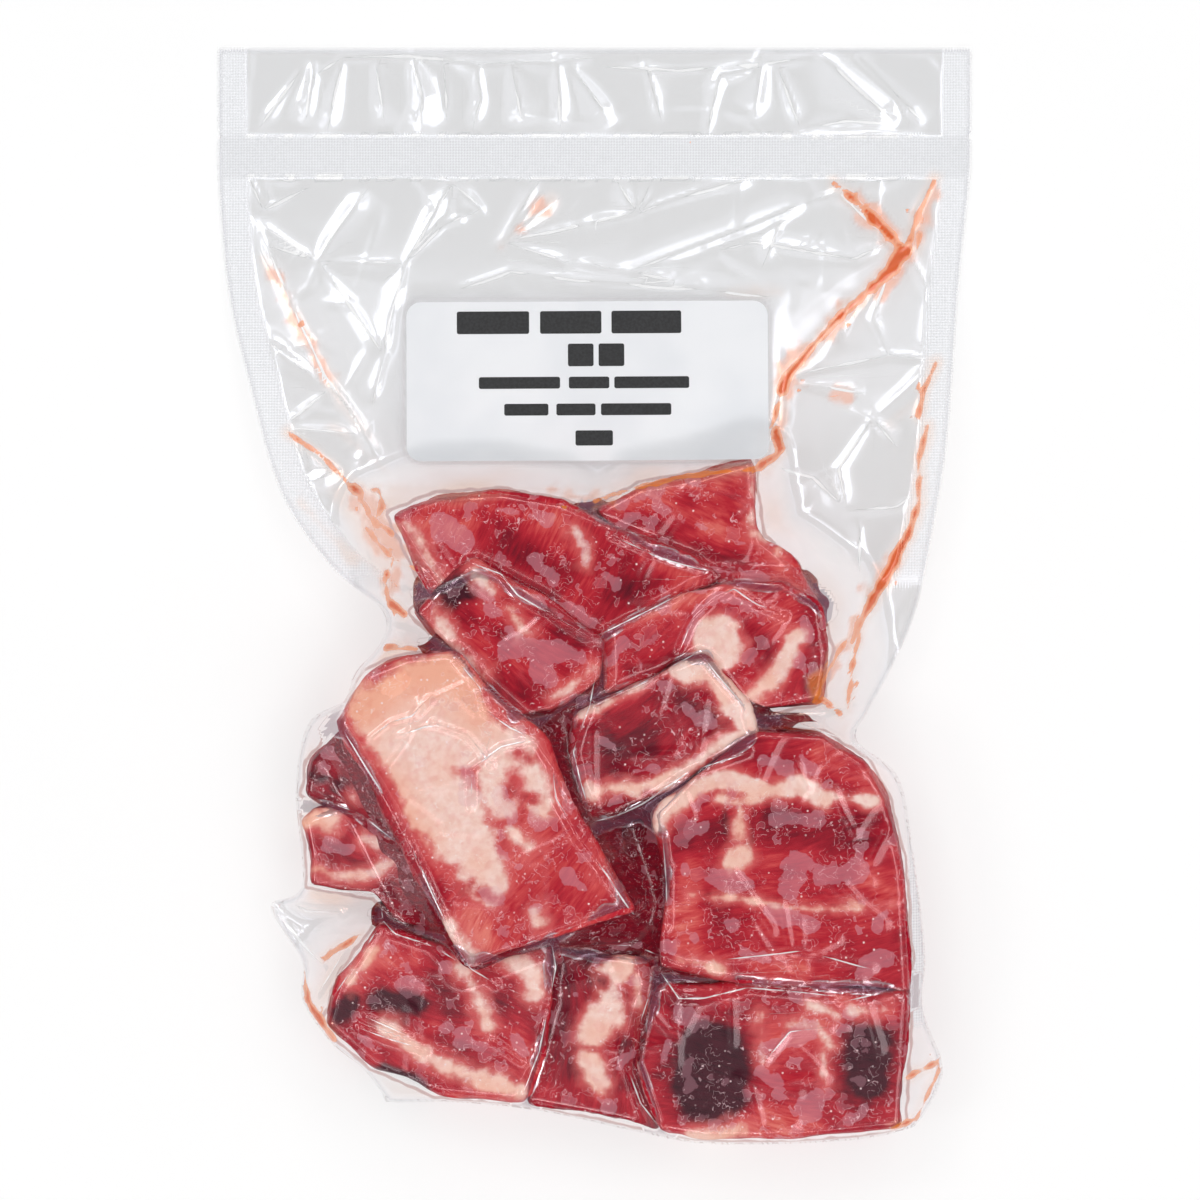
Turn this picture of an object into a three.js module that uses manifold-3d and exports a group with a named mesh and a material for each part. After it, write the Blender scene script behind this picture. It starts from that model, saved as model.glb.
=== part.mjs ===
// A clear vacuum pouch of pork soft bone chunks, lying on its back with the label up.
// Millimetres, +Z up, +Y towards the flap at the pouch's mouth, +X to the right of the label.
// The origin is on the surface that the pack rests on, under the middle of its box.
import * as THREE from "three";
import Module from "manifold-3d";
import { mergeVertices } from "three/addons/utils/BufferGeometryUtils.js";

const wasm = await Module();
wasm.setup();

const { clamp, smoothstep, lerp } = THREE.MathUtils;

// ---- Pouch -----------------------------------------------------------------------------------
const POUCH_WIDTH = 180; // a standard 180 mm pouch, still flat and full width at its mouth
const POUCH_LENGTH = 261; // from the mouth to the foot, as drawn in by the vacuum
const HALF_WIDTH = POUCH_WIDTH / 2;
const MOUTH = POUCH_LENGTH / 2;
const FOOT = -MOUTH;
const FLAT_FILM = 1.1; // the two films and the air left in their creases
const WELDED_FILM = 0.8; // the two films where they are sealed together
const SIDE_SEAL = 7; // width of the weld down each side
const BAND_LOW = 99.5; // the embossed band that closes the mouth
const BAND_HIGH = 109.5;
const WELD_STEP = 1.5; // distance over which film goes from welded to loose
const NOTCH_DEPTH = 1.3; // the tear notch in each side, level with the band's upper edge
const NOTCH_HALF = 0.9;

// The edge between the notch and the foot, mouth to foot on the left and foot to mouth on the
// right: straight where the film is flat, drawn in at the neck above the meat, wavy beside it.
const LEFT_EDGE = [
  [-89.8, 96.5], [-87.5, 72.5], [-82.5, 51], [-74.5, 24], [-62, 6], [-50, -4], [-51, -11.5],
  [-57, -18.5], [-59.5, -25], [-68, -30.5], [-71, -46.5], [-69.5, -69], [-77, -74], [-69.5, -87],
  [-69.5, -96], [-62.5, -106.5], [-55, -112.5],
];
const FOOT_EDGE = [
  [-48, -120.5], [-33.5, -120.5], [-13.5, -122.5], [10, -127.5], [28, FOOT], [59, -129.7], [74, -127],
];
const RIGHT_EDGE = [
  [82, -116.5], [82.5, -110.5], [78, -98], [78.5, -84.5], [75.5, -59.5], [72, -43], [62, -34.5],
  [64.5, -28.5], [70.5, -17.5], [76.5, -3.5], [80.5, 15.5], [84, 37], [87, 74], [89.6, 98.5],
];

// ---- Meat ------------------------------------------------------------------------------------
// Each chunk is a block standing on the surface: the height of its top face, the slope of that
// face in x and y, and the corners of its outline seen from above.
const CHUNKS = [
  { name: "roll", top: 27, lean: [-0.03, -0.1], corners: [
    [-47, 18.5], [-37, 22.5], [-22.5, 23.5], [-8, 21], [6, 15], [23, 9], [29, 4.5], [13, -3],
    [2, -9.5], [-13, -4], [-25, 2.5], [-38, 0.5]] },
  { name: "shoulder", top: 24, lean: [0.02, -0.12], corners: [
    [1.5, 20], [11, 25], [25, 27.5], [35.5, 30], [36.5, 22.5], [38.5, 13], [46.5, 6.5], [52, -1.5],
    [28.5, 3.5], [13, 9.5]] },
  { name: "knuckle", top: 29, lean: [0.02, 0.04], corners: [
    [1.5, -11], [7.5, -6.5], [23, 0.5], [32.5, 3], [44, 2.5], [52, -3], [54, -13], [52.5, -24],
    [39.5, -26.5], [33.5, -22.5], [26.5, -14.5], [20.5, -13.5], [13, -18.5], [2.5, -23]] },
  { name: "neck_chunk", top: 31, lean: [0.04, -0.06], corners: [
    [-41.5, -4], [-37, 0.5], [-28, 8], [-13, -0.5], [1.5, -11], [1, -20.5], [-10.5, -26.5],
    [-19, -28.5], [-25, -20.5], [-31.5, -13.5]] },
  { name: "fat_block", top: 35, lean: [0.1, -0.02], corners: [
    [-60, -31], [-53.5, -19], [-44, -15.5], [-33, -14.5], [-27.5, -21], [-12, -34.5], [-4.5, -52],
    [7.5, -72.5], [-8, -78.5], [-30, -86.5], [-40.5, -68], [-54.5, -41.5]] },
  { name: "square_chunk", top: 31, lean: [-0.02, 0.05], corners: [
    [-4.5, -28.5], [11, -21.5], [26, -15], [34.5, -26.5], [36.5, -33.5], [23, -42], [6, -51],
    [-1.5, -52], [-5.5, -39.5]] },
  { name: "gap_bit", top: 22, lean: [0, 0.05], corners: [
    [-13, -34], [-5, -26], [-4, -41.5], [-1, -52.5], [-5, -53], [-10, -44]] },
  { name: "dark_wedge", top: 25, lean: [0.12, 0], corners: [
    [-69.5, -46.5], [-66.5, -40], [-59, -31.5], [-46.5, -51.5], [-38.5, -63.5], [-53.5, -54]] },
  { name: "left_tail", top: 24, lean: [0.1, 0.03], corners: [
    [-70, -52], [-59.5, -50.5], [-45, -58], [-35.5, -78.5], [-46.5, -76.5], [-51.5, -70],
    [-69, -68.5], [-70.5, -61]] },
  { name: "rib_slab", top: 32, lean: [-0.05, -0.02], corners: [
    [15.5, -52], [25, -42], [39, -33], [54, -34], [65, -38], [68.5, -49], [72, -65.5], [73.5, -93],
    [44, -91], [16, -87.5], [17, -68]] },
  { name: "dark_plug", top: 24, lean: [0, 0.05], corners: [
    [2, -58], [11, -53.5], [16.5, -56.5], [17, -68], [15.5, -79], [7.5, -72.5]] },
  { name: "cartilage_bit", top: 24, lean: [0, -0.05], corners: [
    [-7, -82.5], [2.5, -74], [15.5, -80.5], [14.5, -84], [1.5, -85.5]] },
  { name: "corner_chunk", top: 28, lean: [0.06, 0.05], corners: [
    [-50.5, -79], [-39, -82.5], [-22.5, -87.5], [-11, -83], [-10.5, -96.5], [-16.5, -119.5],
    [-37, -120], [-53.5, -111.5], [-65.5, -102], [-59, -90.5]] },
  { name: "strip_chunk", top: 27, lean: [0, 0.05], corners: [
    [-10, -84.5], [1.5, -86], [13, -87.5], [13.5, -99], [11, -111], [14.5, -125.5], [1.5, -123],
    [-15.5, -120], [-11.5, -101.5]] },
  { name: "marrow_slab", top: 31, lean: [-0.04, 0.03], corners: [
    [15.5, -93], [44, -93], [73.5, -97], [74, -126], [49, -129], [25, -129.5], [16, -126],
    [11, -110], [13.5, -99]] },
];
const CORNER_ROUND = 4; // radius of a chunk's upright edges
const CORNER_STEPS = 1;
const EDGE_ROUND = 4.5; // radius of the edges round its top face
const EDGE_STEPS = 3;
const CROWN = 0.8; // the middle of a top face stands proud by this
const CROWN_SHARE = 0.4; // how far out the crown reaches, as a share of the way to the side
const SHOULDER = 0.6; // how far up a chunk's side the film leaves it, as a share of its height
const DRAPE = 4; // how far the film reaches out from a chunk before it has come down
const WEB = 1.6; // height over which the film bridges the grooves between chunks
const LUMP = { rise: 0.5, radius: 4.4, bend: 1.2, sway: 6.5 };
const UNDER_REACH = 5; // how far the flattened underside reaches out from the chunks
const UNDER_ROUND = 9; // width of the rounding between the underside and the sides

// What stands proud of the cut faces: the round end of a cartilage, and the stub of a rib.
const KNOB = { chunk: "knuckle", at: [29, -10.5], radius: 6, flattening: 0.8, rise: 3.2 };
const STUB = { chunk: "rib_slab", from: [34.5, -50], to: [34.5, -60], radius: 3.2, rise: 2 };

// ---- Where the flat film hangs -----------------------------------------------------------------
const SEAM_HEIGHT = 10; // the side seals beside the meat
const SLOPE_TOP = 24; // the film leaves the meat here and comes down to the surface
const SLOPE_FOOT = 96;

// Creases that the vacuum leaves in the loose film between the label and the band, and the
// pleats of the open flap above it: where each starts and ends, its half width and height.
const CREASES = [
  { from: [-80, 92], to: [-44, 24], half: 6, rise: 2.4 },
  { from: [-50, 97], to: [-72, 50], half: 5, rise: 1.8 },
  { from: [-8, 96], to: [-36, 76], half: 5, rise: 1.8 },
  { from: [20, 96], to: [62, 78], half: 6, rise: 2 },
  { from: [60, 94], to: [78, 80], half: 5, rise: 2.2 },
  { from: [77, 82], to: [48, 46], half: 5, rise: 2.6 },
  { from: [48, 46], to: [42, 26], half: 5, rise: 2.2 },
  { from: [80, 60], to: [52, 52], half: 5, rise: 1.8 },
  { from: [78, 20], to: [58, -26], half: 5, rise: 2.4 },
  { from: [-74, 44], to: [-50, 24], half: 5, rise: 2 },
];
const PLEATS = [-70, -52, -36, -20, -2, 22, 42, 62, 76];
const PLEAT = { half: 6, rise: 1.8, lean: 0.25 };

// ---- Label -----------------------------------------------------------------------------------
const LABEL = { x: -1.7, y: 50.9, width: 86, height: 38, corner: 3.5, thickness: 0.5, turn: 0.3 };
const GAP = 0.3; // clearance between the label's solid and the film's
const LABEL_CALM = 4; // the film is smooth this far round the label

// ---- Distances ---------------------------------------------------------------------------------
function segmentDistance(x, y, [ax, ay], [bx, by]) {
  const [ux, uy] = [bx - ax, by - ay];
  const t = clamp(((x - ax) * ux + (y - ay) * uy) / (ux * ux + uy * uy || 1), 0, 1);
  return Math.hypot(x - ax - t * ux, y - ay - t * uy);
}

// Distance to a closed outline, positive inside it.
function inset(corners, x, y) {
  let nearest = Infinity;
  let inside = false;
  corners.forEach((a, i) => {
    const b = corners[(i + 1) % corners.length];
    nearest = Math.min(nearest, segmentDistance(x, y, a, b));
    const crossing = a[0] + ((y - a[1]) * (b[0] - a[0])) / (b[1] - a[1]);
    if (a[1] > y !== b[1] > y && x < crossing) inside = !inside;
  });
  return inside ? nearest : -nearest;
}

const quarterRound = (t) => Math.sqrt(1 - (1 - clamp(t, 0, 1)) ** 2);

// The larger of two heights, with the corner between them filled over a height of WEB.
function bridged(a, b) {
  const h = Math.max(WEB - Math.abs(a - b), 0) / WEB;
  return Math.max(a, b) + (h * h * WEB) / 4;
}

// ---- The pouch's outline -----------------------------------------------------------------------
function pouchOutline() {
  const points = (list) => list.map(([x, y]) => new THREE.Vector2(x, y));
  const shape = new THREE.Shape();
  shape.moveTo(-HALF_WIDTH, MOUTH);
  shape.lineTo(-HALF_WIDTH, BAND_HIGH + NOTCH_HALF);
  shape.lineTo(-HALF_WIDTH + NOTCH_DEPTH, BAND_HIGH);
  shape.lineTo(-HALF_WIDTH, BAND_HIGH - NOTCH_HALF);
  shape.splineThru(points([...LEFT_EDGE, ...FOOT_EDGE, ...RIGHT_EDGE]));
  shape.lineTo(HALF_WIDTH, BAND_HIGH - NOTCH_HALF);
  shape.lineTo(HALF_WIDTH - NOTCH_DEPTH, BAND_HIGH);
  shape.lineTo(HALF_WIDTH, BAND_HIGH + NOTCH_HALF);
  shape.lineTo(HALF_WIDTH, MOUTH);
  shape.closePath();
  return shape;
}
const OUTLINE = pouchOutline();
const OUTLINE_STEPS = 2; // straight pieces for each point of the edge
const EDGE_POINTS = OUTLINE.getPoints(OUTLINE_STEPS).map((p) => [p.x, p.y]);

// ---- Heights of the film -----------------------------------------------------------------------
const centre = ({ corners }) =>
  [0, 1].map((k) => corners.reduce((sum, c) => sum + c[k], 0) / corners.length);
CHUNKS.forEach((chunk) => {
  chunk.centre = centre(chunk);
});

const faceHeight = ({ top, lean, centre: [cx, cy] }, x, y) =>
  top + lean[0] * (x - cx) + lean[1] * (y - cy);

// The film between the chunks: it leaves each at its shoulder and comes down away from it.
function webHeight(x, y) {
  return CHUNKS.reduce((height, chunk) => {
    const outside = Math.min(inset(chunk.corners, x, y), 0);
    return bridged(height, SHOULDER * faceHeight(chunk, x, y) * Math.exp(outside / DRAPE));
  }, 0);
}

// Soft lumps of the meat itself: two rows of waves, each bent by a slower one across it.
function lumps(x, y) {
  const wave = (u, v) => Math.sin(u / LUMP.radius + LUMP.bend * Math.sin(v / LUMP.sway));
  return LUMP.rise * (wave(x, y) + wave(y, x));
}

// Height of the middle of the flat film.
function seamHeight(y) {
  const laid = FLAT_FILM / 2;
  return lerp(SEAM_HEIGHT, laid, smoothstep(y, SLOPE_TOP, SLOPE_FOOT));
}

function labelInset(x, y) {
  return Math.min(LABEL.width / 2 - Math.abs(x - LABEL.x), LABEL.height / 2 - Math.abs(y - LABEL.y));
}

// How loose the film is, from 0 in a weld to 1 clear of them.
function looseness(x, y, edge) {
  const side = smoothstep(edge, SIDE_SEAL, SIDE_SEAL + WELD_STEP);
  const fromBand = Math.max(BAND_LOW - y, y - BAND_HIGH);
  return side * smoothstep(fromBand, 0, WELD_STEP);
}

// A ridge with a sharp crest and hollow sides, 0 beyond its half width.
const HOLLOWNESS = 1.4;
const ridge = (distance, half, rise) => rise * Math.max(1 - distance / half, 0) ** HOLLOWNESS;

function creases(x, y) {
  if (y > BAND_HIGH) {
    const fromCrest = (start) => Math.abs(x - start - PLEAT.lean * (y - BAND_HIGH));
    return Math.max(...PLEATS.map((start) => ridge(fromCrest(start), PLEAT.half, PLEAT.rise)));
  }
  const calm = smoothstep(-labelInset(x, y), 0, LABEL_CALM);
  const rises = CREASES.map((c) => ridge(segmentDistance(x, y, c.from, c.to), c.half, c.rise));
  return calm * Math.max(...rises);
}

const RIM = 3.5; // the film is down at its seam height this close to the edge

function filmTop(x, y) {
  const edge = inset(EDGE_POINTS, x, y);
  const loose = looseness(x, y, edge);
  const flat = seamHeight(y) + lerp(WELDED_FILM, FLAT_FILM, loose) / 2 + loose * creases(x, y);
  const web = y > SLOPE_FOOT ? 0 : webHeight(x, y);
  return flat + Math.max(web - flat, 0) * smoothstep(edge, 0, RIM);
}

function filmUnder(x, y) {
  const edge = inset(EDGE_POINTS, x, y);
  const flat = seamHeight(y) - lerp(WELDED_FILM, FLAT_FILM, looseness(x, y, edge)) / 2;
  const reach = Math.max(...CHUNKS.map((chunk) => inset(chunk.corners, x, y)));
  const pressed = quarterRound((reach + UNDER_REACH) / UNDER_ROUND) * smoothstep(edge, 0, RIM);
  return Math.max(flat, 0) * (1 - pressed);
}

// ---- Solids ------------------------------------------------------------------------------------
// Grid lines from a to b, about step apart.
function lines(a, b, step) {
  const n = Math.ceil((b - a) / step);
  return Array.from({ length: n + 1 }, (_, i) => a + ((b - a) * i) / n);
}

// A box whose upper and lower faces follow two height functions at the crossings of the lines.
function reliefBox(xs, ys, upper, lower) {
  const box = new THREE.BoxGeometry(1, 1, 1, xs.length - 1, ys.length - 1, 1);
  const at = box.getAttribute("position");
  for (let i = 0; i < at.count; i++) {
    const x = xs[Math.round((at.getX(i) + 0.5) * (xs.length - 1))];
    const y = ys[Math.round((at.getY(i) + 0.5) * (ys.length - 1))];
    at.setXYZ(i, x, y, at.getZ(i) > 0 ? upper(x, y) : lower(x, y));
  }
  return box;
}

function solid(geometry) {
  const bare = new THREE.BufferGeometry().setAttribute("position", geometry.getAttribute("position"));
  const merged = mergeVertices(geometry.index ? bare.setIndex(geometry.index) : bare, 1e-4);
  return new wasm.Manifold(new wasm.Mesh({
    numProp: 3,
    vertProperties: new Float32Array(merged.getAttribute("position").array),
    triVerts: new Uint32Array(merged.index.array),
  }));
}

function geometryOf(manifold) {
  const { vertProperties, triVerts } = manifold.getMesh();
  return new THREE.BufferGeometry()
    .setAttribute("position", new THREE.BufferAttribute(vertProperties, 3))
    .setIndex(new THREE.BufferAttribute(triVerts, 1));
}

const DEEP = -20; // levels clear of the pack, above and below
const HIGH = 80;
const MARGIN = 2; // how far the relief boxes reach past the outline

function prism(shape, curveSegments) {
  return solid(new THREE.ExtrudeGeometry(shape, { depth: HIGH - DEEP, bevelEnabled: false, curveSegments })
    .translate(0, 0, DEEP));
}

const GRID = 4.4;
const UNDER_GRID = 8;
const across = (step) => lines(-HALF_WIDTH - MARGIN, HALF_WIDTH + MARGIN, step);
const along = (step) => lines(FOOT - MARGIN, MOUTH + MARGIN, step);

const underFilm = solid(reliefBox(across(GRID), along(GRID), filmTop, () => DEEP));
const overBase = solid(reliefBox(across(UNDER_GRID), along(UNDER_GRID), () => HIGH, filmUnder));

// A closed outline with each corner rounded to a radius, or less where its sides are short.
const SIDE_SHARE = 0.45; // the most of a side that one corner's rounding takes
function roundedShape(corners, radius) {
  const shape = new THREE.Shape();
  corners.forEach((corner, i) => {
    const at = new THREE.Vector2(...corner);
    const towards = (k) => {
      const next = new THREE.Vector2(...corners[(i + k + corners.length) % corners.length]);
      const reach = Math.min(radius, SIDE_SHARE * next.distanceTo(at));
      return next.sub(at).setLength(reach).add(at);
    };
    const [before, after] = [towards(-1), towards(1)];
    if (i === 0) shape.moveTo(before.x, before.y);
    else shape.lineTo(before.x, before.y);
    shape.quadraticCurveTo(at.x, at.y, after.x, after.y);
  });
  shape.closePath();
  return shape;
}

// A block of meat: a lathe's closed section carried round the chunk's outline, not a circle.
// Its rings run from under the middle, out to the side, up, and over the rounded upper edge.
function chunkSolid(chunk) {
  const [cx, cy] = chunk.centre;
  const outline = roundedShape(chunk.corners, CORNER_ROUND).getPoints(CORNER_STEPS).slice(1).reverse();
  const reach = outline.reduce((sum, p) => sum + Math.hypot(p.x - cx, p.y - cy), 0) / outline.length;
  const section = [new THREE.Vector2(0, 0), new THREE.Vector2(1, 0)];
  for (let k = 0; k <= EDGE_STEPS; k++) {
    const turn = ((k / EDGE_STEPS) * Math.PI) / 2;
    const inwards = (EDGE_ROUND * (1 - Math.cos(turn))) / reach;
    section.push(new THREE.Vector2(1 - inwards, chunk.top - EDGE_ROUND * (1 - Math.sin(turn))));
  }
  section.push(new THREE.Vector2(CROWN_SHARE, chunk.top + CROWN), new THREE.Vector2(0, chunk.top + CROWN));
  const block = new THREE.LatheGeometry(section, outline.length);
  const at = block.getAttribute("position");
  for (let i = 0; i < at.count; i++) {
    const { x: share, y: height } = section[i % section.length];
    const side = outline[Math.floor(i / section.length) % outline.length];
    const [x, y] = [lerp(cx, side.x, share), lerp(cy, side.y, share)];
    const slope = faceHeight(chunk, x, y) - chunk.top + lumps(x, y);
    at.setXYZ(i, x, y, height > 0 ? height + slope : 0);
  }
  return solid(block);
}

const chunkNamed = (name) => CHUNKS.find((chunk) => chunk.name === name);

function knobSolid() {
  const { at: [x, y], radius, flattening, rise } = KNOB;
  const ball = new THREE.SphereGeometry(radius, 16, 10).scale(1, 1, flattening);
  const height = faceHeight(chunkNamed(KNOB.chunk), x, y) + rise - flattening * radius;
  return solid(ball.translate(x, y, height));
}

function stubSolid() {
  const [[x, y0], [, y1]] = [STUB.from, STUB.to];
  const middle = (y0 + y1) / 2;
  const bone = new THREE.CapsuleGeometry(STUB.radius, Math.abs(y0 - y1), 3, 10);
  const height = faceHeight(chunkNamed(STUB.chunk), x, middle) + STUB.rise - STUB.radius;
  return solid(bone.translate(x, middle, height));
}

function pouchSolid() {
  const parts = [underFilm, ...CHUNKS.map(chunkSolid), knobSolid(), stubSolid()];
  return parts.reduce((joined, part) => joined.add(part))
    .intersect(overBase)
    .intersect(prism(OUTLINE, OUTLINE_STEPS));
}

function labelOutline() {
  const { width: w, height: h, corner: r } = LABEL;
  const shape = new THREE.Shape();
  shape.absarc(w / 2 - r, h / 2 - r, r, 0, Math.PI / 2);
  shape.absarc(-w / 2 + r, h / 2 - r, r, Math.PI / 2, Math.PI);
  shape.absarc(-w / 2 + r, -h / 2 + r, r, Math.PI, 1.5 * Math.PI);
  shape.absarc(w / 2 - r, -h / 2 + r, r, 1.5 * Math.PI, 2 * Math.PI);
  shape.closePath();
  return shape;
}

// The label is the layer from GAP to GAP plus its thickness above the film.
function labelSolid() {
  const cut = prism(labelOutline(), 3)
    .rotate([0, 0, LABEL.turn])
    .translate([LABEL.x, LABEL.y, 0]);
  return underFilm.translate([0, 0, GAP + LABEL.thickness])
    .subtract(underFilm.translate([0, 0, GAP]))
    .intersect(cut);
}

// ---- The pack ----------------------------------------------------------------------------------
const filmOverMeat = new THREE.MeshStandardMaterial({ color: 0xb8434a, roughness: 0.18, metalness: 0 });
const paper = new THREE.MeshStandardMaterial({ color: 0xf2f2f4, roughness: 0.45, metalness: 0 });

const pouch = new THREE.Mesh(geometryOf(pouchSolid()), filmOverMeat);
pouch.name = "pouch";

const label = new THREE.Mesh(geometryOf(labelSolid()), paper);
label.name = "label";

const pack = new THREE.Group();
pack.add(pouch, label);

export default pack;
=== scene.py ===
import math

import bpy
import numpy as np
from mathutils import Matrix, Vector
from mathutils.geometry import delaunay_2d_cdt
from mathutils.kdtree import KDTree


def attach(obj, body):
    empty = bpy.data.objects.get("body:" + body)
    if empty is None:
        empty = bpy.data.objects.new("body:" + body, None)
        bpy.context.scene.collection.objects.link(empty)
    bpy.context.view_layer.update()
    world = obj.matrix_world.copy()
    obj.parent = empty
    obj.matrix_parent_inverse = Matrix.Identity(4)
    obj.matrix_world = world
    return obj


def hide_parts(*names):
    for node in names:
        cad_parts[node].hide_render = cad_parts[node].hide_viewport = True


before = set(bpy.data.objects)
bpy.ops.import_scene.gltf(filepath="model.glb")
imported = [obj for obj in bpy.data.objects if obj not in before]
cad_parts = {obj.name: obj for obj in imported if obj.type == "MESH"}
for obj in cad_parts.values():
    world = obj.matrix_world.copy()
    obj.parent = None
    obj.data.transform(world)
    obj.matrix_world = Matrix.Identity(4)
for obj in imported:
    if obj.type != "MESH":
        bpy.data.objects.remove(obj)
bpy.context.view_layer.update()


# ---- The pouch as it was cut ------------------------------------------------------------------
# A standard clear vacuum pouch: two films welded down the sides and across the foot, and closed
# by a band below its mouth. Drawn in by the vacuum, its edge has this shape seen from above.
MM = 0.001  # plan sizes and heights are written in millimetres
POUCH_WIDTH = 180
MOUTH = 130.5
BAND_LOW = 99.5
BAND_HIGH = 109.5
SIDE_SEAL = 7
LEFT_EDGE = [
    (-90, 130.5), (-90, 110.5), (-89.8, 96.5), (-87.5, 72.5), (-82.5, 51), (-74.5, 24), (-62, 6),
    (-50, -4), (-51, -11.5), (-57, -18.5), (-59.5, -25), (-68, -30.5), (-71, -46.5),
    (-69.5, -69), (-77, -74), (-69.5, -87), (-69.5, -96), (-62.5, -106.5), (-55, -112.5),
    (-50, -119),
]
FOOT_EDGE = [
    (-50, -119), (-48, -120.5), (-33.5, -120.5), (-13.5, -122.5), (10, -127.5), (28, -130.5),
    (59, -129.7), (74, -127), (78, -124),
]
RIGHT_EDGE = [
    (78, -124), (82, -116.5), (82.5, -110.5), (78, -98), (78.5, -84.5), (75.5, -59.5), (72, -43),
    (62, -34.5), (64.5, -28.5), (70.5, -17.5), (76.5, -3.5), (80.5, 15.5), (84, 37), (87, 74),
    (89.6, 98.5), (90, 110.5), (90, 130.5),
]
MEAT_GAP = 2.4  # the meat keeps this far inside the pouch's edge

SEAM_HEIGHT = 10  # the seams beside the meat hang at this height
SLOPE_TOP = 24  # above the meat they come down to the surface between these two
SLOPE_FOOT = 96
LAID = 0.55  # half the thickness of the two flat films


def smoothstep(value, low, high):
    t = np.clip((value - low) / (high - low), 0, 1)
    return t * t * (3 - 2 * t)


def seam_height(y):
    return LAID + (SEAM_HEIGHT - LAID) * (1 - smoothstep(y, SLOPE_TOP, SLOPE_FOOT))


def line_distance(x, y, points):
    """Distance in plan to a line through the points, or to a single point."""
    points = np.array(points, float)
    starts, ends = (points, points) if len(points) == 1 else (points[:-1], points[1:])
    nearest = np.full(np.shape(x), np.inf)
    for (ax, ay), (bx, by) in zip(starts, ends):
        ux, uy = bx - ax, by - ay
        t = np.clip(((x - ax) * ux + (y - ay) * uy) / max(ux * ux + uy * uy, 1e-9), 0, 1)
        nearest = np.minimum(nearest, np.hypot(x - ax - t * ux, y - ay - t * uy))
    return nearest


def inset(x, y, corners):
    """Distance in plan to a closed outline, positive inside it."""
    inside = np.zeros(np.shape(x), bool)
    for (ax, ay), (bx, by) in zip(corners, corners[1:] + corners[:1]):
        if ay != by:
            inside ^= ((ay > y) != (by > y)) & (x < ax + (y - ay) * (bx - ax) / (by - ay))
    distance = line_distance(x, y, corners + corners[:1])
    return np.where(inside, distance, -distance)


def along(points, count):
    """Points spaced evenly along a smooth curve through the given ones."""
    points = np.array(points, float)
    p = np.vstack([2 * points[0] - points[1], points, 2 * points[-1] - points[-2]])
    curve = []
    t = np.linspace(0, 1, 20, endpoint=False)[:, None]
    for a, b, c, d in zip(p[:-3], p[1:-2], p[2:-1], p[3:]):
        curve.append(b + 0.5 * ((c - a) * t + (2 * a - 5 * b + 4 * c - d) * t**2
                                + (3 * b - a - 3 * c + d) * t**3))
    curve = np.vstack(curve + [points[-1:]])
    walked = np.concatenate([[0], np.cumsum(np.linalg.norm(np.diff(curve, axis=0), axis=1))])
    stops = np.linspace(0, walked[-1], count)
    return np.column_stack([np.interp(stops, walked, curve[:, k]) for k in (0, 1)])


RIM = [tuple(p) for p in np.vstack([
    along(LEFT_EDGE, 160), along(FOOT_EDGE, 60)[1:], along(RIGHT_EDGE, 160)[1:]])]


# ---- The meat ---------------------------------------------------------------------------------
# Raw pork soft bone: blocks sawn across the breast end of the ribs, so each shows red muscle,
# cream fat and here and there cartilage or marrow. They lie loose, held only by the vacuum.
CORNER_ROUND = 1.2  # the upright edges of a block, worn round by the knife and the film
EDGE_ROUND = 1.6  # the edges round its top face
PRESSED = 1.0  # each block is this much wider all round than it looks, as its neighbours press it
BED = 0.6  # the blocks stand on the back film at this height
VOXEL = 0.88  # side of the squares that a block's skin is made of
LUMP_SIZE = 9  # the soft lumps of a block's skin are this far across
LUMP_RISE = 0.35
FAT_RISE = 0.35  # fat stands proud of the muscle beside it
FIBRE_RISE = 0.12
FIBRE_BEND = 2.5  # how far the fibres wander from straight lines
STROKE_WANDER = (0.55, 0.4)  # and the edges of fat and marrow, in long waves and in short ones
TONE_WANDER = (0.07, 0.04)
STAIN = 0.24  # a stroke of deep or light red changes the tone by this much
BLUSH = 0.4  # cream fat is at most this much warmer where no stroke says so
WORN = 0.7  # no side of a block is straight: it wanders by this much
LOWEST = 0.3  # and nothing of a block goes below this


def waves(points, length, seed, count=26):
    """Smooth noise of about -1 to 1 at points in mm, whose lumps are about length across."""
    draw = np.random.default_rng(seed)
    directions = draw.normal(size=(count, 3))
    directions /= np.linalg.norm(directions, axis=1)[:, None]
    turns = draw.uniform(0.6, 1.4, count) * math.pi / length
    phases = draw.uniform(0, 2 * math.pi, count)
    return np.sin(points @ (directions * turns[:, None]).T + phases).sum(1) / math.sqrt(count)


def coordinates(mesh):
    flat = np.empty(len(mesh.vertices) * 3)
    mesh.vertices.foreach_get("co", flat)
    return flat.reshape(-1, 3) / MM


def normals(mesh):
    flat = np.empty(len(mesh.vertices) * 3)
    mesh.vertex_normals.foreach_get("vector", flat)
    return flat.reshape(-1, 3)


def move_to(mesh, points):
    mesh.vertices.foreach_set("co", (points * MM).ravel())
    mesh.update()


def keep_field(mesh, name, values):
    """Keeps a number or a vector for each vertex, for the material to read."""
    values = np.asarray(values, np.float32)
    kind, slot = ("FLOAT", "value") if values.ndim == 1 else ("FLOAT_VECTOR", "vector")
    mesh.attributes.new(name, kind, "POINT").data.foreach_set(slot, values.ravel())


def only(piece):
    bpy.ops.object.select_all(action="DESELECT")
    piece.select_set(True)
    bpy.context.view_layer.objects.active = piece


def added(primitive, name="", **settings):
    """A new primitive, lamp or camera, added with nothing else selected."""
    bpy.ops.object.select_all(action="DESELECT")
    primitive(**settings)
    piece = bpy.context.object
    piece.name = name or piece.name
    return piece


def raise_selected(rise):
    bpy.ops.mesh.extrude_region_move(TRANSFORM_OT_translate={"value": (0, 0, rise * MM)})


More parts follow.
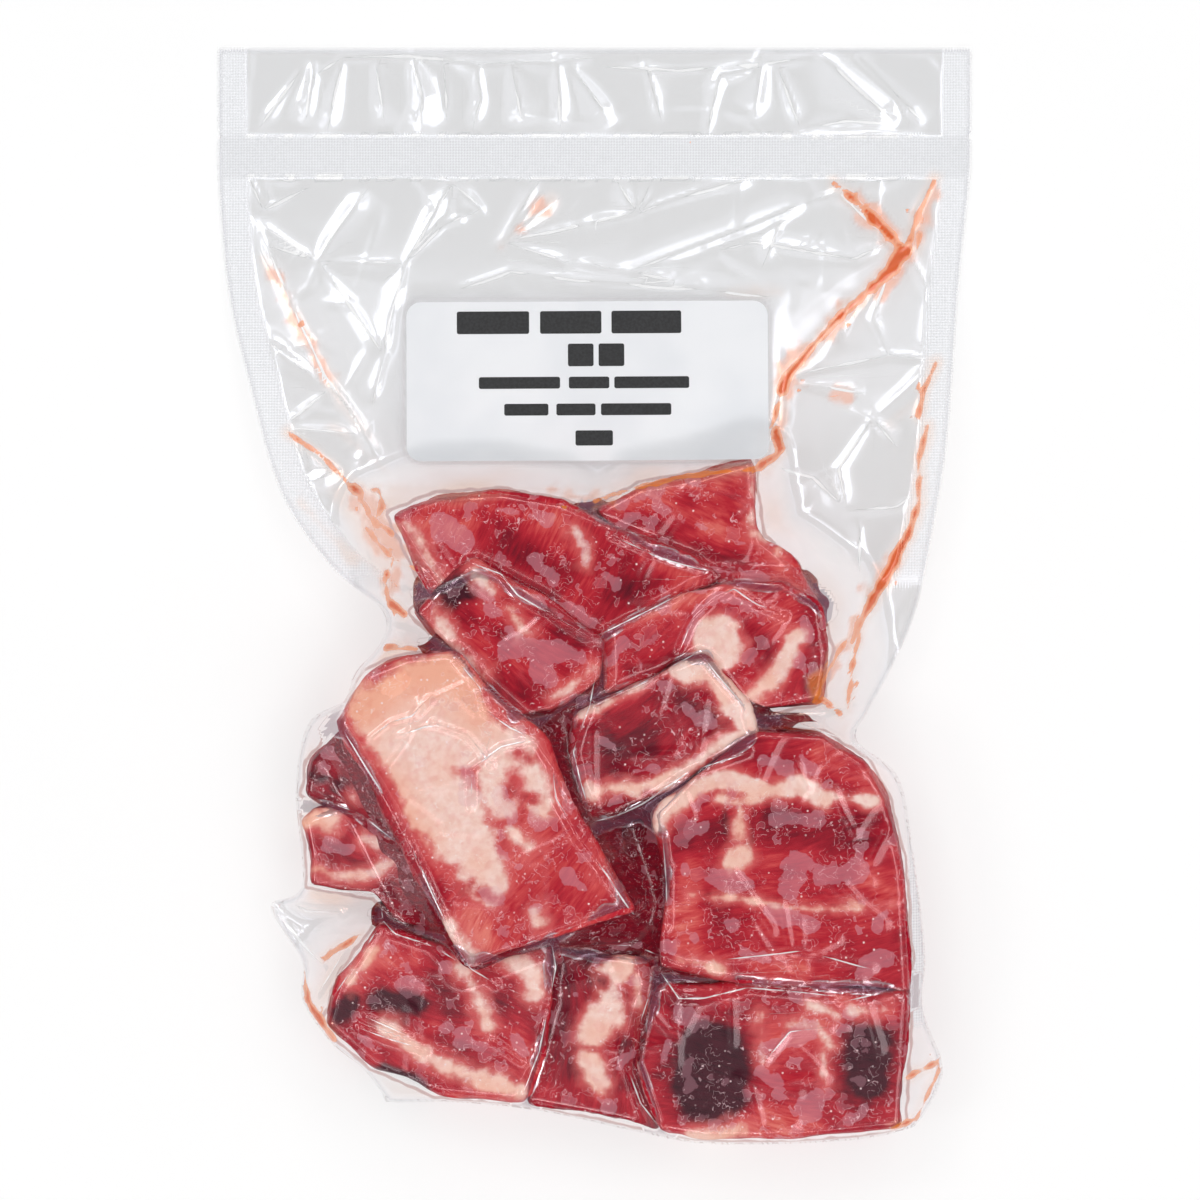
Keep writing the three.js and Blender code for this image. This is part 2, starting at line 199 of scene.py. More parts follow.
def face_outwards():
    """Turns all faces outwards and leaves edit mode."""
    bpy.ops.mesh.select_all(action="SELECT")
    bpy.ops.mesh.normals_make_consistent(inside=False)
    bpy.ops.object.mode_set(mode="OBJECT")


def apply_modifier(piece, kind, **settings):
    only(piece)
    modifier = piece.modifiers.new(kind.lower(), kind)
    for key, value in settings.items():
        setattr(modifier, key, value)
    bpy.ops.object.modifier_apply(modifier=modifier.name)


def pressed(corners):
    """The corners, moved outwards so that every side goes out by the same amount, and then
    towards their middle where they are too close to the pouch's edge."""
    corners = np.array(corners, float)
    sides = np.roll(corners, -1, 0) - corners
    out = np.column_stack([sides[:, 1], -sides[:, 0]]) / np.linalg.norm(sides, axis=1)[:, None]
    area = np.cross(corners, np.roll(corners, -1, 0)).sum()
    out = (out + np.roll(out, 1, 0)) * np.sign(area)
    length = np.clip(np.linalg.norm(out, axis=1), 1, None)[:, None]
    corners += PRESSED * 2 * out / length**2
    short = np.clip(MEAT_GAP - inset(corners[:, 0], corners[:, 1], RIM), 0, None)
    inwards = corners.mean(0) - corners
    inwards /= np.linalg.norm(inwards, axis=1)[:, None]
    return [tuple(c) for c in corners + inwards * short[:, None]]


def face_height(x, y, top, lean, corners):
    cx, cy = np.mean(corners, axis=0)
    return top + lean[0] * (x - cx) + lean[1] * (y - cy)


def sawn_block(name, top, lean, corners):
    """A closed block on the outline, with rounded edges and its top face sloped by lean."""
    circle = bpy.ops.mesh.primitive_circle_add
    piece = added(circle, name, vertices=len(corners), fill_type="NGON")
    for vertex, (x, y) in zip(piece.data.vertices, corners[::-1]):
        vertex.co = (x * MM, y * MM, BED * MM)
    bpy.ops.object.mode_set(mode="EDIT")
    bpy.ops.mesh.select_all(action="SELECT")
    bpy.ops.mesh.bevel(affect="VERTICES", offset=CORNER_ROUND * MM, segments=3, clamp_overlap=True)
    raise_selected(top - BED)
    bpy.ops.mesh.bevel(affect="EDGES", offset=EDGE_ROUND * MM, segments=4, clamp_overlap=True)
    face_outwards()
    points = coordinates(piece.data)
    slope = face_height(points[:, 0], points[:, 1], 0, lean, corners)
    points[:, 2] += slope * smoothstep(points[:, 2], BED, top - EDGE_ROUND)
    move_to(piece.data, points)
    return piece


def painted(strokes, x, y):
    """How far inside the painted strokes each point is: a stroke is a half width and a line."""
    depth = np.full(np.shape(x), -50.0)
    for half, *line in strokes:
        depth = np.maximum(depth, half - line_distance(x, y, line))
    return depth


def srgb(red, green, blue):
    """A colour given as on a screen, 0 to 255, as the linear numbers that a socket takes."""
    parts = [c / 255 for c in (red, green, blue)]
    return tuple(c / 12.92 if c <= 0.04045 else ((c + 0.055) / 1.055) ** 2.4 for c in parts) + (1,)


class Weave:
    """Short words for the nodes of a material or of the world."""

    def __init__(self, owner, shader):
        owner.use_nodes = True
        self.owner = owner
        self.tree = owner.node_tree
        self.shader = self.tree.nodes[shader]

    def node(self, kind, sockets=None, **settings):
        made = self.tree.nodes.new(kind)
        for key, value in settings.items():
            setattr(made, key, value)
        for key, value in (sockets or {}).items():
            if isinstance(value, bpy.types.NodeSocket):
                self.tree.links.new(value, made.inputs[key])
            else:
                made.inputs[key].default_value = value
        return made

    def field(self, name, output="Fac"):
        return self.node("ShaderNodeAttribute", attribute_name=name).outputs[output]

    def vectors(self, operation, a, b=(0, 0, 0)):
        return self.node("ShaderNodeVectorMath", {0: a, 1: b}, operation=operation).outputs

    def scaled(self, vector, x, y, z):
        return self.vectors("MULTIPLY", vector, (x, y, z))[0]

    def noise(self, vector, scale, detail=2, rough=0.5, distortion=0):
        return self.node("ShaderNodeTexNoise", {
            "Vector": vector, "Scale": scale, "Detail": detail, "Roughness": rough,
            "Distortion": distortion}).outputs["Fac"]

    def maths(self, operation, a, b=0.0, c=0.0, clamp=False):
        settings = dict(operation=operation, use_clamp=clamp)
        return self.node("ShaderNodeMath", {0: a, 1: b, 2: c}, **settings).outputs[0]

    def step(self, value, low, high, start=0.0, end=1.0):
        return self.node("ShaderNodeMapRange", {
            "Value": value, "From Min": low, "From Max": high, "To Min": start, "To Max": end,
        }, interpolation_type="SMOOTHSTEP").outputs[0]

    def near(self, value, whole, none):
        """1 where the value is within whole of nought, and 0 where it is past none."""
        return self.step(self.maths("ABSOLUTE", value), whole, none, 1, 0)

    def mix(self, factor, a, b):
        return self.node("ShaderNodeMix", {0: factor, 6: a, 7: b}, data_type="RGBA").outputs[2]

    def blend(self, factor, a, b):
        return self.node("ShaderNodeMix", {0: factor, 2: a, 3: b}).outputs[0]

    def ramp(self, factor, colours):
        """A ramp through the colours, at even steps."""
        made = self.node("ShaderNodeValToRGB", {"Fac": factor})
        elements = made.color_ramp.elements
        while len(elements) < len(colours):
            elements.new(0.5)
        for k, colour in enumerate(colours):
            elements[k].position = k / (len(colours) - 1)
            elements[k].color = colour
        return made.outputs["Color"]

    def finish(self, linked=None, **constants):
        for key, value in constants.items():
            self.shader.inputs[key.replace("_", " ")].default_value = value
        for key, value in (linked or {}).items():
            self.tree.links.new(value, self.shader.inputs[key])
        return self.owner


def material(name):
    """A new material's nodes, with the place on the piece in millimetres."""
    w = Weave(bpy.data.materials.new(name), "Principled BSDF")
    metres = w.node("ShaderNodeTexCoord").outputs["Object"]
    w.place = w.node("ShaderNodeMapping", {"Vector": metres, "Scale": (1 / MM,) * 3}).outputs[0]
    return w


MUSCLE = [  # from its darkest to its lightest
    srgb(70, 2, 24), srgb(112, 6, 30), srgb(154, 12, 36), srgb(188, 34, 50), srgb(212, 76, 76),
    srgb(232, 128, 116)]
MARROW = (srgb(14, 2, 12), srgb(84, 20, 40))
FAT_EDGE = srgb(222, 104, 102)  # thin fat with the muscle showing through
CREAM_FAT = (srgb(244, 202, 188), srgb(252, 222, 212), srgb(234, 158, 152))  # the last is bloody
PEACH_FAT = (srgb(246, 180, 154), srgb(236, 142, 118))  # warm fat, plain and bloody
AIR_REFLECTION = srgb(214, 152, 166)  # painted reflection of the film where it stands off the meat
CURL_GLINT = (srgb(248, 208, 214), srgb(255, 240, 236))  # painted glints of the film's fine wrinkles, on muscle and on fat
BEAD_GLINT = srgb(252, 226, 226)  # painted glints of the smallest bubbles


def raw_pork():
    """Red muscle in fibres, with fat and marrow where the fields say, under patches of air
    painted lighter as the film's reflection, and painted glints of fine wrinkles and bubbles.
    """
    w = material("raw pork")
    strands = w.noise(w.scaled(w.field("fibres", "Vector"), 0.22, 1.3, 0.7), 1, 3, 0.6)
    shade = w.maths("MULTIPLY_ADD", strands, 0.6, w.field("tone"))
    shade = w.maths("SUBTRACT", shade, 0.3, clamp=True)
    colour = w.ramp(shade, MUSCLE)
    rough_edge = w.maths("MULTIPLY_ADD", w.noise(w.place, 0.4, 3, 0.55), 2.0, -1.0)
    dark = w.step(w.maths("ADD", w.field("dark"), rough_edge), -1.6, 1.2, 0, 0.97)
    colour = w.mix(dark, colour, w.mix(strands, *MARROW))
    fat_edge = w.maths("ADD", w.field("fat"), rough_edge)
    colour = w.mix(w.step(fat_edge, -2.4, 0.0, 0, 0.75), colour, FAT_EDGE)
    cream = w.mix(w.step(rough_edge, -0.4, 0.4), *CREAM_FAT[:2])
    clouds = w.node("ShaderNodeTexNoise", {"Vector": w.place, "Scale": 0.45, "Detail": 1})
    blush = w.step(clouds.outputs["Fac"], 0.48, 0.68, 0, 0.25)
    cream = w.mix(blush, cream, CREAM_FAT[2])
    cream = w.mix(w.field("peach"), cream, w.mix(blush, *PEACH_FAT))
    fat = w.step(fat_edge, -0.75, 0.75)
    colour = w.mix(fat, colour, cream)

    # Patches of air under the film, painted lighter as the film's reflection over them.
    bent = w.vectors("ADD", w.place, w.scaled(clouds.outputs["Color"], 4, 4, 4))[0]
    cells = w.node("ShaderNodeTexVoronoi", {"Vector": bent, "Scale": 0.26}, distance="CHEBYCHEV")
    draw = w.node("ShaderNodeSeparateColor", {0: cells.outputs["Color"]})
    size = w.step(draw.outputs[0], 0.6, 1.0, 0, 0.46)
    inside = w.maths("SUBTRACT", size, cells.outputs["Distance"])
    reflection_share = w.maths("MULTIPLY_ADD", draw.outputs[1], 0.34, 0.06)
    patch = w.maths("MULTIPLY", w.step(inside, 0.0, 0.04), reflection_share)
    held = w.maths("ADD", w.field("pale"), w.maths("MULTIPLY", rough_edge, 1.3))
    patch = w.maths("MAXIMUM", patch, w.step(held, -0.1, 0.2, 0, 0.38))
    lively = w.maths("MULTIPLY_ADD", w.maths("MAXIMUM", fat, dark), -0.45, 1.0)
    colour = w.mix(w.maths("MULTIPLY", patch, lively), colour, AIR_REFLECTION)
    # Painted glints: curls of the film's fine wrinkles, and thin lines on the air patches' rims.
    curl_glint = w.near(w.maths("SUBTRACT", w.noise(bent, 0.5, 1, 0.4), 0.5), 0.002, 0.011)
    curl_glints = w.maths("MULTIPLY", curl_glint, w.step(draw.outputs[2], 0.5, 0.7, 0.0, 0.75))
    rim_glints = w.maths("MULTIPLY", w.near(inside, 0.0, 0.025), 0.45)
    colour = w.mix(w.maths("MAXIMUM", curl_glints, rim_glints), colour, w.mix(fat, *CURL_GLINT))
    # Painted glints of the smallest bubbles under the film.
    beads = w.node("ShaderNodeTexVoronoi", {"Vector": w.place, "Scale": 0.55})
    chosen = w.node("ShaderNodeSeparateColor", {0: beads.outputs["Color"]}).outputs[1]
    bead_glint = w.step(beads.outputs["Distance"], 0.07, 0.19, 1, 0)
    colour = w.mix(w.maths("MULTIPLY", bead_glint, w.step(chosen, 0.7, 0.95)), colour, BEAD_GLINT)
    return w.finish({"Base Color": colour}, Roughness=0.5, Specular_IOR_Level=0.06)


RAW_PORK = raw_pork()
CHUNKS = []


def chunk(name, top, lean, corners, grain=0, tone=0.5, seed=0, soft=1,
          fat=(), dark=(), pale=(), peach=(), deep=(), warm=()):
    """One block of meat. grain turns its fibres, tone goes from purple to scarlet, soft blurs the
    edges of its fat, and fat, dark, pale, peach, deep and warm are the strokes of cream fat,
    marrow, trapped air (painted lighter as the film's reflection), warm fat, deep red and
    light red."""
    corners = pressed(corners)
    piece = sawn_block(name, top, lean, corners)
    CHUNKS.append(dict(piece=piece, face=(top, lean, corners)))
    apply_modifier(piece, "REMESH", mode="VOXEL", voxel_size=VOXEL * MM)
    apply_modifier(piece, "SMOOTH", factor=0.5, iterations=2)
    mesh = piece.data
    points = coordinates(mesh)
    x, y, z = points.T
    turn = math.radians(grain)
    bend = FIBRE_BEND * waves(points, 22, seed + 1)
    fibres = np.column_stack([
        x * math.cos(turn) + y * math.sin(turn),
        y * math.cos(turn) - x * math.sin(turn) + bend,
        z,
    ])
    long, short = STROKE_WANDER
    wander = long * waves(points, 5, seed + 2) + short * waves(points, 2.2, seed + 3)
    fat_depth = (np.minimum(painted(fat, x, y), -painted(deep, x, y)) + wander) / soft
    keep_field(mesh, "fibres", fibres)
    keep_field(mesh, "fat", fat_depth)
    keep_field(mesh, "dark", painted(dark, x, y) + wander)
    # where the film's reflection over trapped air is painted
    keep_field(mesh, "pale", painted(pale, x, y) + 1.2 * wander)
    blush = BLUSH * np.clip(waves(points, 8, seed + 10), 0, 1)
    keep_field(mesh, "peach", np.maximum(smoothstep(painted(peach, x, y), -7, 6), blush))
    long, short = TONE_WANDER
    tone = tone + long * waves(points, 9, seed + 4) + short * waves(points, 3, seed + 7)
    tone -= STAIN * smoothstep(painted(deep, x, y) + wander, -2.5, 2.5)
    tone += STAIN * smoothstep(painted(warm, x, y) + wander, -3, 2)
    keep_field(mesh, "tone", tone)
    rise = LUMP_RISE * waves(points, LUMP_SIZE, seed + 5) + FAT_RISE * smoothstep(fat_depth, -1, 1)
    rise += FIBRE_RISE * waves(fibres * (0.25, 1, 1), 1.3, seed + 6)
    points += normals(mesh) * rise[:, None]
    points[:, 2] = np.clip(points[:, 2], LOWEST, None)
    bent = np.column_stack([waves(points * (1, 1, 0.3), 13, seed + k) for k in (8, 9)]) * WORN
    points[:, :2] += bent * smoothstep(inset(x, y, RIM), MEAT_GAP, 2 * MEAT_GAP)[:, None]
    move_to(mesh, points)
    bpy.ops.object.shade_smooth()
    mesh.materials.append(RAW_PORK)
    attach(piece, "root")
    return piece


chunk("chunk_roll", 27, (-0.03, -0.1), [
    (-47, 18.5), (-37, 22.5), (-22.5, 23.5), (-8, 21), (6, 15), (23, 9), (29, 4.5), (13, -3),
    (2, -9.5), (-13, -4), (-25, 2.5), (-38, 0.5)],
    grain=60, tone=0.54, seed=10, soft=1.6,
    fat=[(0.5, (-45, 17), (-39, 8), (-35, 2)), (0.3, (-5, 15.5), (-2, 12), (-3, 8))],
    pale=[(3, (-37, 17), (-31, 12)), (0.9, (-24, 20), (-17, 19.5), (-11, 18)),
          (1.6, (-14, 9), (-11, 4)), (0.7, (-4.5, 15), (-2, 13), (-3, 8)), (1.5, (2, 5), (5, 2)),
          (1.2, (-12, -2), (-3, -4), (0, -7)), (1, (-21, 5), (-19, 3)),
          (0.5, (12, 10), (13.5, 4))],
    deep=[(3, (-20, 12), (-8, 6)), (3, (-22, 4), (-12, 0)), (2.5, (4, 0), (14, 2)),
          (1, (-44, 14), (-38, 4))],
    warm=[(3, (-39, 17), (-31, 14)), (1, (-24, 20), (-10, 18)), (1, (12, 8), (24, 4)),
          (1, (-40, 21), (-22, 22.5))])
chunk("chunk_shoulder", 24, (0.02, -0.12), [
    (1.5, 20), (11, 25), (25, 27.5), (36.5, 31), (37, 22.5), (38.5, 13), (46.5, 6.5), (53, -2),
    (40, 1), (28.5, 3.5), (13, 9.5)],
    grain=-22, tone=0.6, seed=20, soft=1.6, fat=[(0.1, (36, 30), (38, 16), (44, 8))],
    pale=[(0.9, (5, 22), (14, 25), (24, 27)), (0.8, (12, 10.5), (22, 7.5), (31, 5.5)),
          (1.5, (6, 17), (10, 19)), (0.8, (34, 5), (40, 3.5)),
          (0.5, (14, 21.5), (26, 17), (36, 12))],
    deep=[(2, (16, 14), (34, 8)), (2, (8, 17), (20, 18))],
    warm=[(1.4, (14, 22), (26, 18), (38, 12), (48, 2)), (1.4, (4, 21), (16, 25.5), (34, 29))])
chunk("chunk_knuckle", 29, (0.02, 0.04), [
    (1.5, -11), (7.5, -6.5), (23, 0.5), (32.5, 3), (44, 2.5), (52, -3), (54.5, -13), (52.5, -24),
    (39.5, -26.5), (33.5, -22.5), (26.5, -14.5), (20.5, -13.5), (13, -18.5), (2.5, -23)],
    grain=38, tone=0.62, seed=30,
    fat=[(5.6, (29.4, -11.6), (29.4, -10)), (1.5, (48, -10), (45, -15.5), (41, -21), (36, -24))],
    pale=[(1.4, (3, -15), (7, -11)), (0.9, (22, -11), (24, -4), (30, 1), (37, -1.5), (39, -4)),
          (0.8, (23, 2), (27, 2.5)), (1.6, (49, -16), (50, -20)), (0.7, (49, -6), (51, -10))],
    peach=[(0.5, (26, -2), (31, 2), (40, 1))],
    deep=[(2.4, (51, -4), (53, -14), (51, -22)), (3, (37, -8), (40, -14)),
          (2, (8, -18), (22, -14))],
    warm=[(1.5, (10, -6), (24, 0), (36, 2)), (1.5, (25, -20), (36, -25))])
chunk("chunk_neck", 31, (0.04, -0.06), [
    (-41.5, -4), (-37, 0.5), (-28, 8), (-13, -0.5), (1.5, -11), (1, -20.5), (-10.5, -26.5),
    (-19, -28.5), (-25, -20.5), (-31.5, -13.5)],
    grain=-35, tone=0.56, seed=40, soft=1.8,
    fat=[(0.5, (-38, -4), (-33, -13), (-27, -18)), (0.7, (-28, 6), (-24, 1)),
         (0.4, (-20, -3), (-16, -9)), (0.2, (-10, -24), (-1, -19))],
    dark=[(3.0, (-36, -1), (-30.5, 1.5))],
    pale=[(1.5, (-27, 1.5), (-24, -0.5)), (1.6, (-24.5, -3), (-22, -4.5)), (1.2, (-20.5, -8)),
          (2.6, (-20, -12), (-8, -14)), (2.8, (-14, -14), (-12, -20)), (0.8, (-19, 1), (-8, -5)),
          (1.2, (-5, -14), (-3, -16))],
    deep=[(2.5, (-30, -6), (-22, -9)), (2.5, (-23, -20), (-14, -24)),
          (1.5, (-12, -4), (-4, -10))],
    warm=[(1.5, (-28, 7), (-14, -1)), (2, (-8, -22), (0, -18))])
chunk("chunk_fat", 35, (0.06, -0.02), [
    (-60, -31), (-53.5, -19), (-44, -15.5), (-33, -14.5), (-27.5, -21), (-12, -34.5),
    (-4.5, -52), (7.5, -72.5), (-8, -78.5), (-30, -86.5), (-40.5, -68), (-54.5, -41.5)],
    grain=55, tone=0.68, seed=50, soft=1.9,
    fat=[(8, (-50, -27), (-36, -23)), (10, (-44, -34), (-34, -31)), (8, (-41, -41), (-36, -50)),
         (7, (-34, -52), (-31, -58)), (5, (-30, -60), (-26, -68)), (5, (-26, -34), (-20, -36)),
         (3, (-24, -42), (-22, -50)), (2.4, (-15, -42), (-12, -50)),
         (1.2, (-20, -56), (-15, -60)), (0.4, (-14, -74), (-13, -77)),
         (1, (-35, -78), (-30, -85))],
    pale=[(1.8, (-31, -41), (-30, -48)), (1.6, (-26, -71), (-21, -72)),
          (2, (-20, -53), (-22, -46)), (1.6, (-14, -52), (-12, -55)),
          (1.4, (-6, -66), (-2, -70)), (1, (-14, -73))],
    peach=[(7, (-56, -27), (-46, -19), (-34, -18), (-27, -24)), (2, (-50, -42), (-40, -58))],
    deep=[(2.0, (-57, -42), (-51, -50), (-43, -62), (-37, -74)), (2, (-20, -46), (-14, -48)),
          (1.5, (-18, -37), (-15, -39)), (2, (-30, -70), (-24, -72))],
    warm=[(3, (-30, -76), (-28, -82))])
chunk("chunk_square", 31, (-0.02, 0.05), [
    (-4.5, -28.5), (11, -21.5), (26, -15), (34.5, -26.5), (36.5, -33.5), (23, -42), (6, -51),
    (-1.5, -52), (-5.5, -39.5)],
    grain=30, tone=0.4, seed=60,
    fat=[(2.7, (20, -18), (28, -19), (32, -26), (36, -32)),
         (1.2, (34, -34), (26, -39), (15, -45), (-1, -47)),
         (0.2, (-3, -28), (8, -22.5), (18, -18))],
    pale=[(1.4, (2, -35), (5, -36)), (2.0, (22, -28), (27, -30)), (1, (10, -42), (14, -41)),
          (0.8, (12, -27))], deep=[(4, (4, -38), (12, -34)), (3, (22, -26), (28, -30))],
    warm=[(1, (-3, -28), (10, -22), (18, -18))])
chunk("chunk_gap_bit", 22, (0, 0.05), [
    (-13, -34), (-5, -26), (-4, -41.5), (-1, -52.5), (-5, -53), (-10, -44)],
    tone=0.6, seed=70, fat=[(0.2, (-8, -30), (-6, -40))], peach=[(6, (-8, -36), (-5, -46))])
chunk("chunk_wedge", 25, (0.12, 0), [
    (-69.5, -46.5), (-66.5, -40), (-59, -31.5), (-46.5, -51.5), (-38.5, -63.5), (-53.5, -54)],
    grain=-40, tone=0.36, seed=80, fat=[(1.0, (-56, -48))], dark=[(1.2, (-66, -43), (-60, -45))],
    pale=[(2.2, (-62, -38), (-58, -40))], warm=[(1, (-60, -33), (-50, -46))])
chunk("chunk_tail", 24, (0.1, 0.03), [
    (-70, -52), (-59.5, -50.5), (-45, -58), (-35.5, -78.5), (-46.5, -76.5), (-51.5, -70),
    (-69, -68.5), (-70.5, -61)],
    grain=-25, tone=0.45, seed=90, soft=1.6,
    fat=[(1.6, (-68, -54), (-62, -54)), (1.0, (-54, -58), (-47, -59)),
         (0.4, (-66, -65), (-54, -67), (-47, -63))],
    pale=[(1.4, (-64, -60), (-58, -60)), (0.8, (-52, -66))], peach=[(5, (-69, -55), (-68, -64))],
    deep=[(2, (-60, -60), (-56, -64)), (2.4, (-48, -70), (-40, -76))])
chunk("chunk_rib", 32, (-0.05, -0.02), [
    (15.5, -52), (25, -42), (39, -33), (54, -34), (65, -38), (68.5, -49), (72, -65.5),
    (73.5, -93), (44, -91), (16, -87.5), (17, -68)],
    grain=10, tone=0.56, seed=100, soft=1.2,
    fat=[(1.9, (15, -55), (19, -49), (24, -44.5), (31, -43), (38, -45.5), (43, -46), (48, -44),
          (56, -47)),
         (0.6, (57, -47), (67, -48)), (0.9, (29, -48.5), (34, -50), (38, -48.5)),
         (0.9, (34, -50), (34.5, -58)), (2.0, (33.5, -62.3), (35.5, -62.3)),
         (0.2, (22, -70), (33, -71), (45, -73.5), (63, -73), (70, -73)),
         (0.4, (19, -86), (30, -88))],
    dark=[(0.1, (30, -49), (31.5, -58)), (0.1, (37.5, -50), (37, -60))],
    pale=[(2.0, (40, -39), (45, -40)), (1.4, (49, -38), (52, -40)),
          (1.8, (23, -55.5), (26, -56)), (1.8, (42.5, -53.5)), (1.9, (47, -53), (53, -53)),
          (2.0, (29, -66.5), (37, -68)), (2.8, (49, -63), (46, -69)),
          (2.2, (54, -66), (62, -64.5)), (2.4, (42, -75), (50, -77)),
          (2.6, (63, -90), (66, -86)), (1.5, (33, -77)), (1.5, (34, -84), (40, -86)),
          (1, (24, -81)), (1.2, (21, -65)), (1.6, (66, -78), (68, -74))],
    peach=[(0.5, (32, -48), (36, -48), (34.5, -60)), (1, (20, -70), (70, -73)),
           (1, (18, -86), (34, -89))],
    deep=[(3.2, (21, -57), (29, -57)), (4.6, (42, -55), (66, -55)), (3, (36, -38), (45, -39))],
    warm=[(3, (54, -37), (65, -44)), (4, (22, -66), (22, -82)), (2, (64, -66), (70, -70)),
          (1, (20, -85), (50, -88))])
chunk("chunk_plug", 24, (0, 0.05), [
    (2, -58), (11, -53.5), (16.5, -56.5), (17, -68), (15.5, -79), (7.5, -72.5)],
    tone=0.22, seed=110, fat=[(1.4, (4, -60), (5, -64))],
    pale=[(0.7, (8, -62)), (0.9, (12, -60)), (1, (9, -70))], peach=[(4, (4, -60), (6, -66))])
chunk("chunk_cartilage", 24, (0, -0.05), [
    (-7, -82.5), (2.5, -74), (15.5, -80.5), (14.5, -84), (1.5, -85.5)],
    tone=0.15, seed=120, dark=[(1, (4, -78), (10, -80))], pale=[(0.8, (1, -83), (12, -83))])
chunk("chunk_corner", 28, (0.06, 0.05), [
    (-50.5, -79), (-39, -82.5), (-22.5, -87.5), (-11, -83), (-10.5, -96.5), (-16.5, -119.5),
    (-37, -120), (-53.5, -111.5), (-65.5, -102), (-59, -90.5)],
    grain=-30, tone=0.52, seed=130, soft=1.5,
    fat=[(1.7, (-48, -102), (-42, -107), (-35, -111.5), (-27, -114.5), (-19, -117)),
         (1.1, (-31, -88), (-27, -95), (-25, -102)), (1.9, (-20, -86), (-14, -89), (-13.5, -94)),
         (0.8, (-52, -84), (-57, -91))],
    dark=[(2.8, (-50, -95.5), (-42, -96.5)), (2.6, (-57, -96), (-60, -99)),
          (1.2, (-50, -101), (-44, -101)), (1.8, (-50, -112), (-41, -117))],
    pale=[(2, (-46, -92), (-41, -93)), (1.6, (-35, -88)), (1.8, (-31, -105), (-27, -107)),
          (1.4, (-36, -102)), (1.2, (-19, -104), (-18, -108)), (1, (-55, -104), (-50, -107))],
    peach=[(4, (-51, -86), (-46, -90)), (3, (-38, -117), (-22, -119))],
    deep=[(2.5, (-38, -92), (-34, -98)), (1.5, (-22, -96), (-20, -101)),
          (1.5, (-36, -104), (-28, -109))],
    warm=[(2, (-55, -86), (-44, -86)), (2, (-20, -100), (-16, -112)),
          (1, (-36, -118), (-20, -119))])
chunk("chunk_strip", 27, (0, 0.05), [
    (-10, -84.5), (1.5, -86), (13, -87.5), (13.5, -99), (11, -111), (14.5, -125.5), (1.5, -123),
    (-15.5, -120), (-11.5, -101.5)],
    grain=85, tone=0.33, seed=140, soft=1.5,
    fat=[(2.6, (8, -88), (4, -90)), (2.0, (3, -93), (4, -100)), (3.0, (0, -104), (2, -100)),
         (2.6, (-1, -110), (1, -115)), (0.8, (10, -90), (10, -97))], dark=[(1.2, (7, -106))],
    pale=[(1.4, (-4, -94)), (1.4, (6, -111), (8, -108)), (2, (3, -121))],
    peach=[(4, (-8, -119), (6, -123))],
    deep=[(2.4, (-7, -90), (-9, -104)), (2, (-2, -86), (2, -92))],
    warm=[(2.5, (-12, -118), (0, -120)), (2, (6, -118), (11, -123))])
chunk("chunk_marrow", 31, (-0.04, 0.03), [
    (15.5, -93), (44, -92), (73.5, -94), (74, -126), (49, -129), (25, -129.5), (16, -126),
    (11, -110), (13.5, -99)],
    grain=-10, tone=0.56, seed=150, soft=1.5,
    fat=[(0.3, (45, -102), (52, -103), (56, -107)), (0.5, (50, -98), (57, -99)),
         (0.7, (60, -97), (68, -97)), (1.6, (34, -126.5), (24, -128)),
         (0.2, (54, -109), (55, -116)), (0.1, (39, -99), (40, -110))],
    dark=[(9.8, (27.3, -112.3)), (8.4, (26.8, -108)), (8.4, (27.8, -117)), (5.7, (64.7, -110.5)),
          (4.8, (65, -106)), (4.8, (64.5, -115))],
    pale=[(2.4, (41, -106), (50, -104)), (2.0, (43, -115), (40, -112)),
          (2.6, (53, -118), (51, -122)), (1.4, (19, -99), (26, -100)), (1.6, (60, -98)),
          (1.6, (22, -111), (22.5, -115)), (1.3, (31, -115.5)), (1.4, (64.5, -106)),
          (1.5, (62.5, -115)), (1.2, (16.5, -105), (16, -110)), (1.5, (60, -124), (64, -122))],
    peach=[(4, (42, -126), (50, -125)), (2, (30, -128), (40, -126))],
    deep=[(2.5, (18, -97), (34, -98)), (12, (27, -111), (28, -114)),
          (8, (65, -106), (64.5, -115)), (1.2, (72, -98), (72.5, -120))],
    warm=[(3, (40, -124), (50, -125)), (3, (42, -104), (54, -104)), (2, (24, -126), (38, -126)),
          (1.5, (58, -96), (70, -98))])


# ---- The juice between the blocks --------------------------------------------------------------
# Dark red juice and scraps, drawn up by the vacuum, that fill the grooves between the blocks.
JUICE_DROP = 4.5  # its surface stands this far below the film
JUICE_REACH = -6.0  # it goes this far out from the second nearest block
JUICE_OUT = -3  # and this far out from the nearest
JUICE_EDGE = 6  # and stays this far inside the pouch's edge
JUICE_SHEET = (150, 160, 0)
JUICE_MIDDLE = (0, -52, BED)
GROOVE_SLOPE = 1.2  # how steeply the film goes down between two blocks
FILM_LIFT = 1.0  # the film lies this far above the blocks
WALL_SLOPE = 12  # how steeply it goes down to the seam beside the outer ones
WEB = 1.6  # and it fills the corner between two heights that are closer than this


def bridged(a, b):
    """The larger of two heights, with the corner between them filled by the taut film."""
    h = np.clip(WEB - np.abs(a - b), 0, None) / WEB
    return np.maximum(a, b) + h * h * WEB / 4


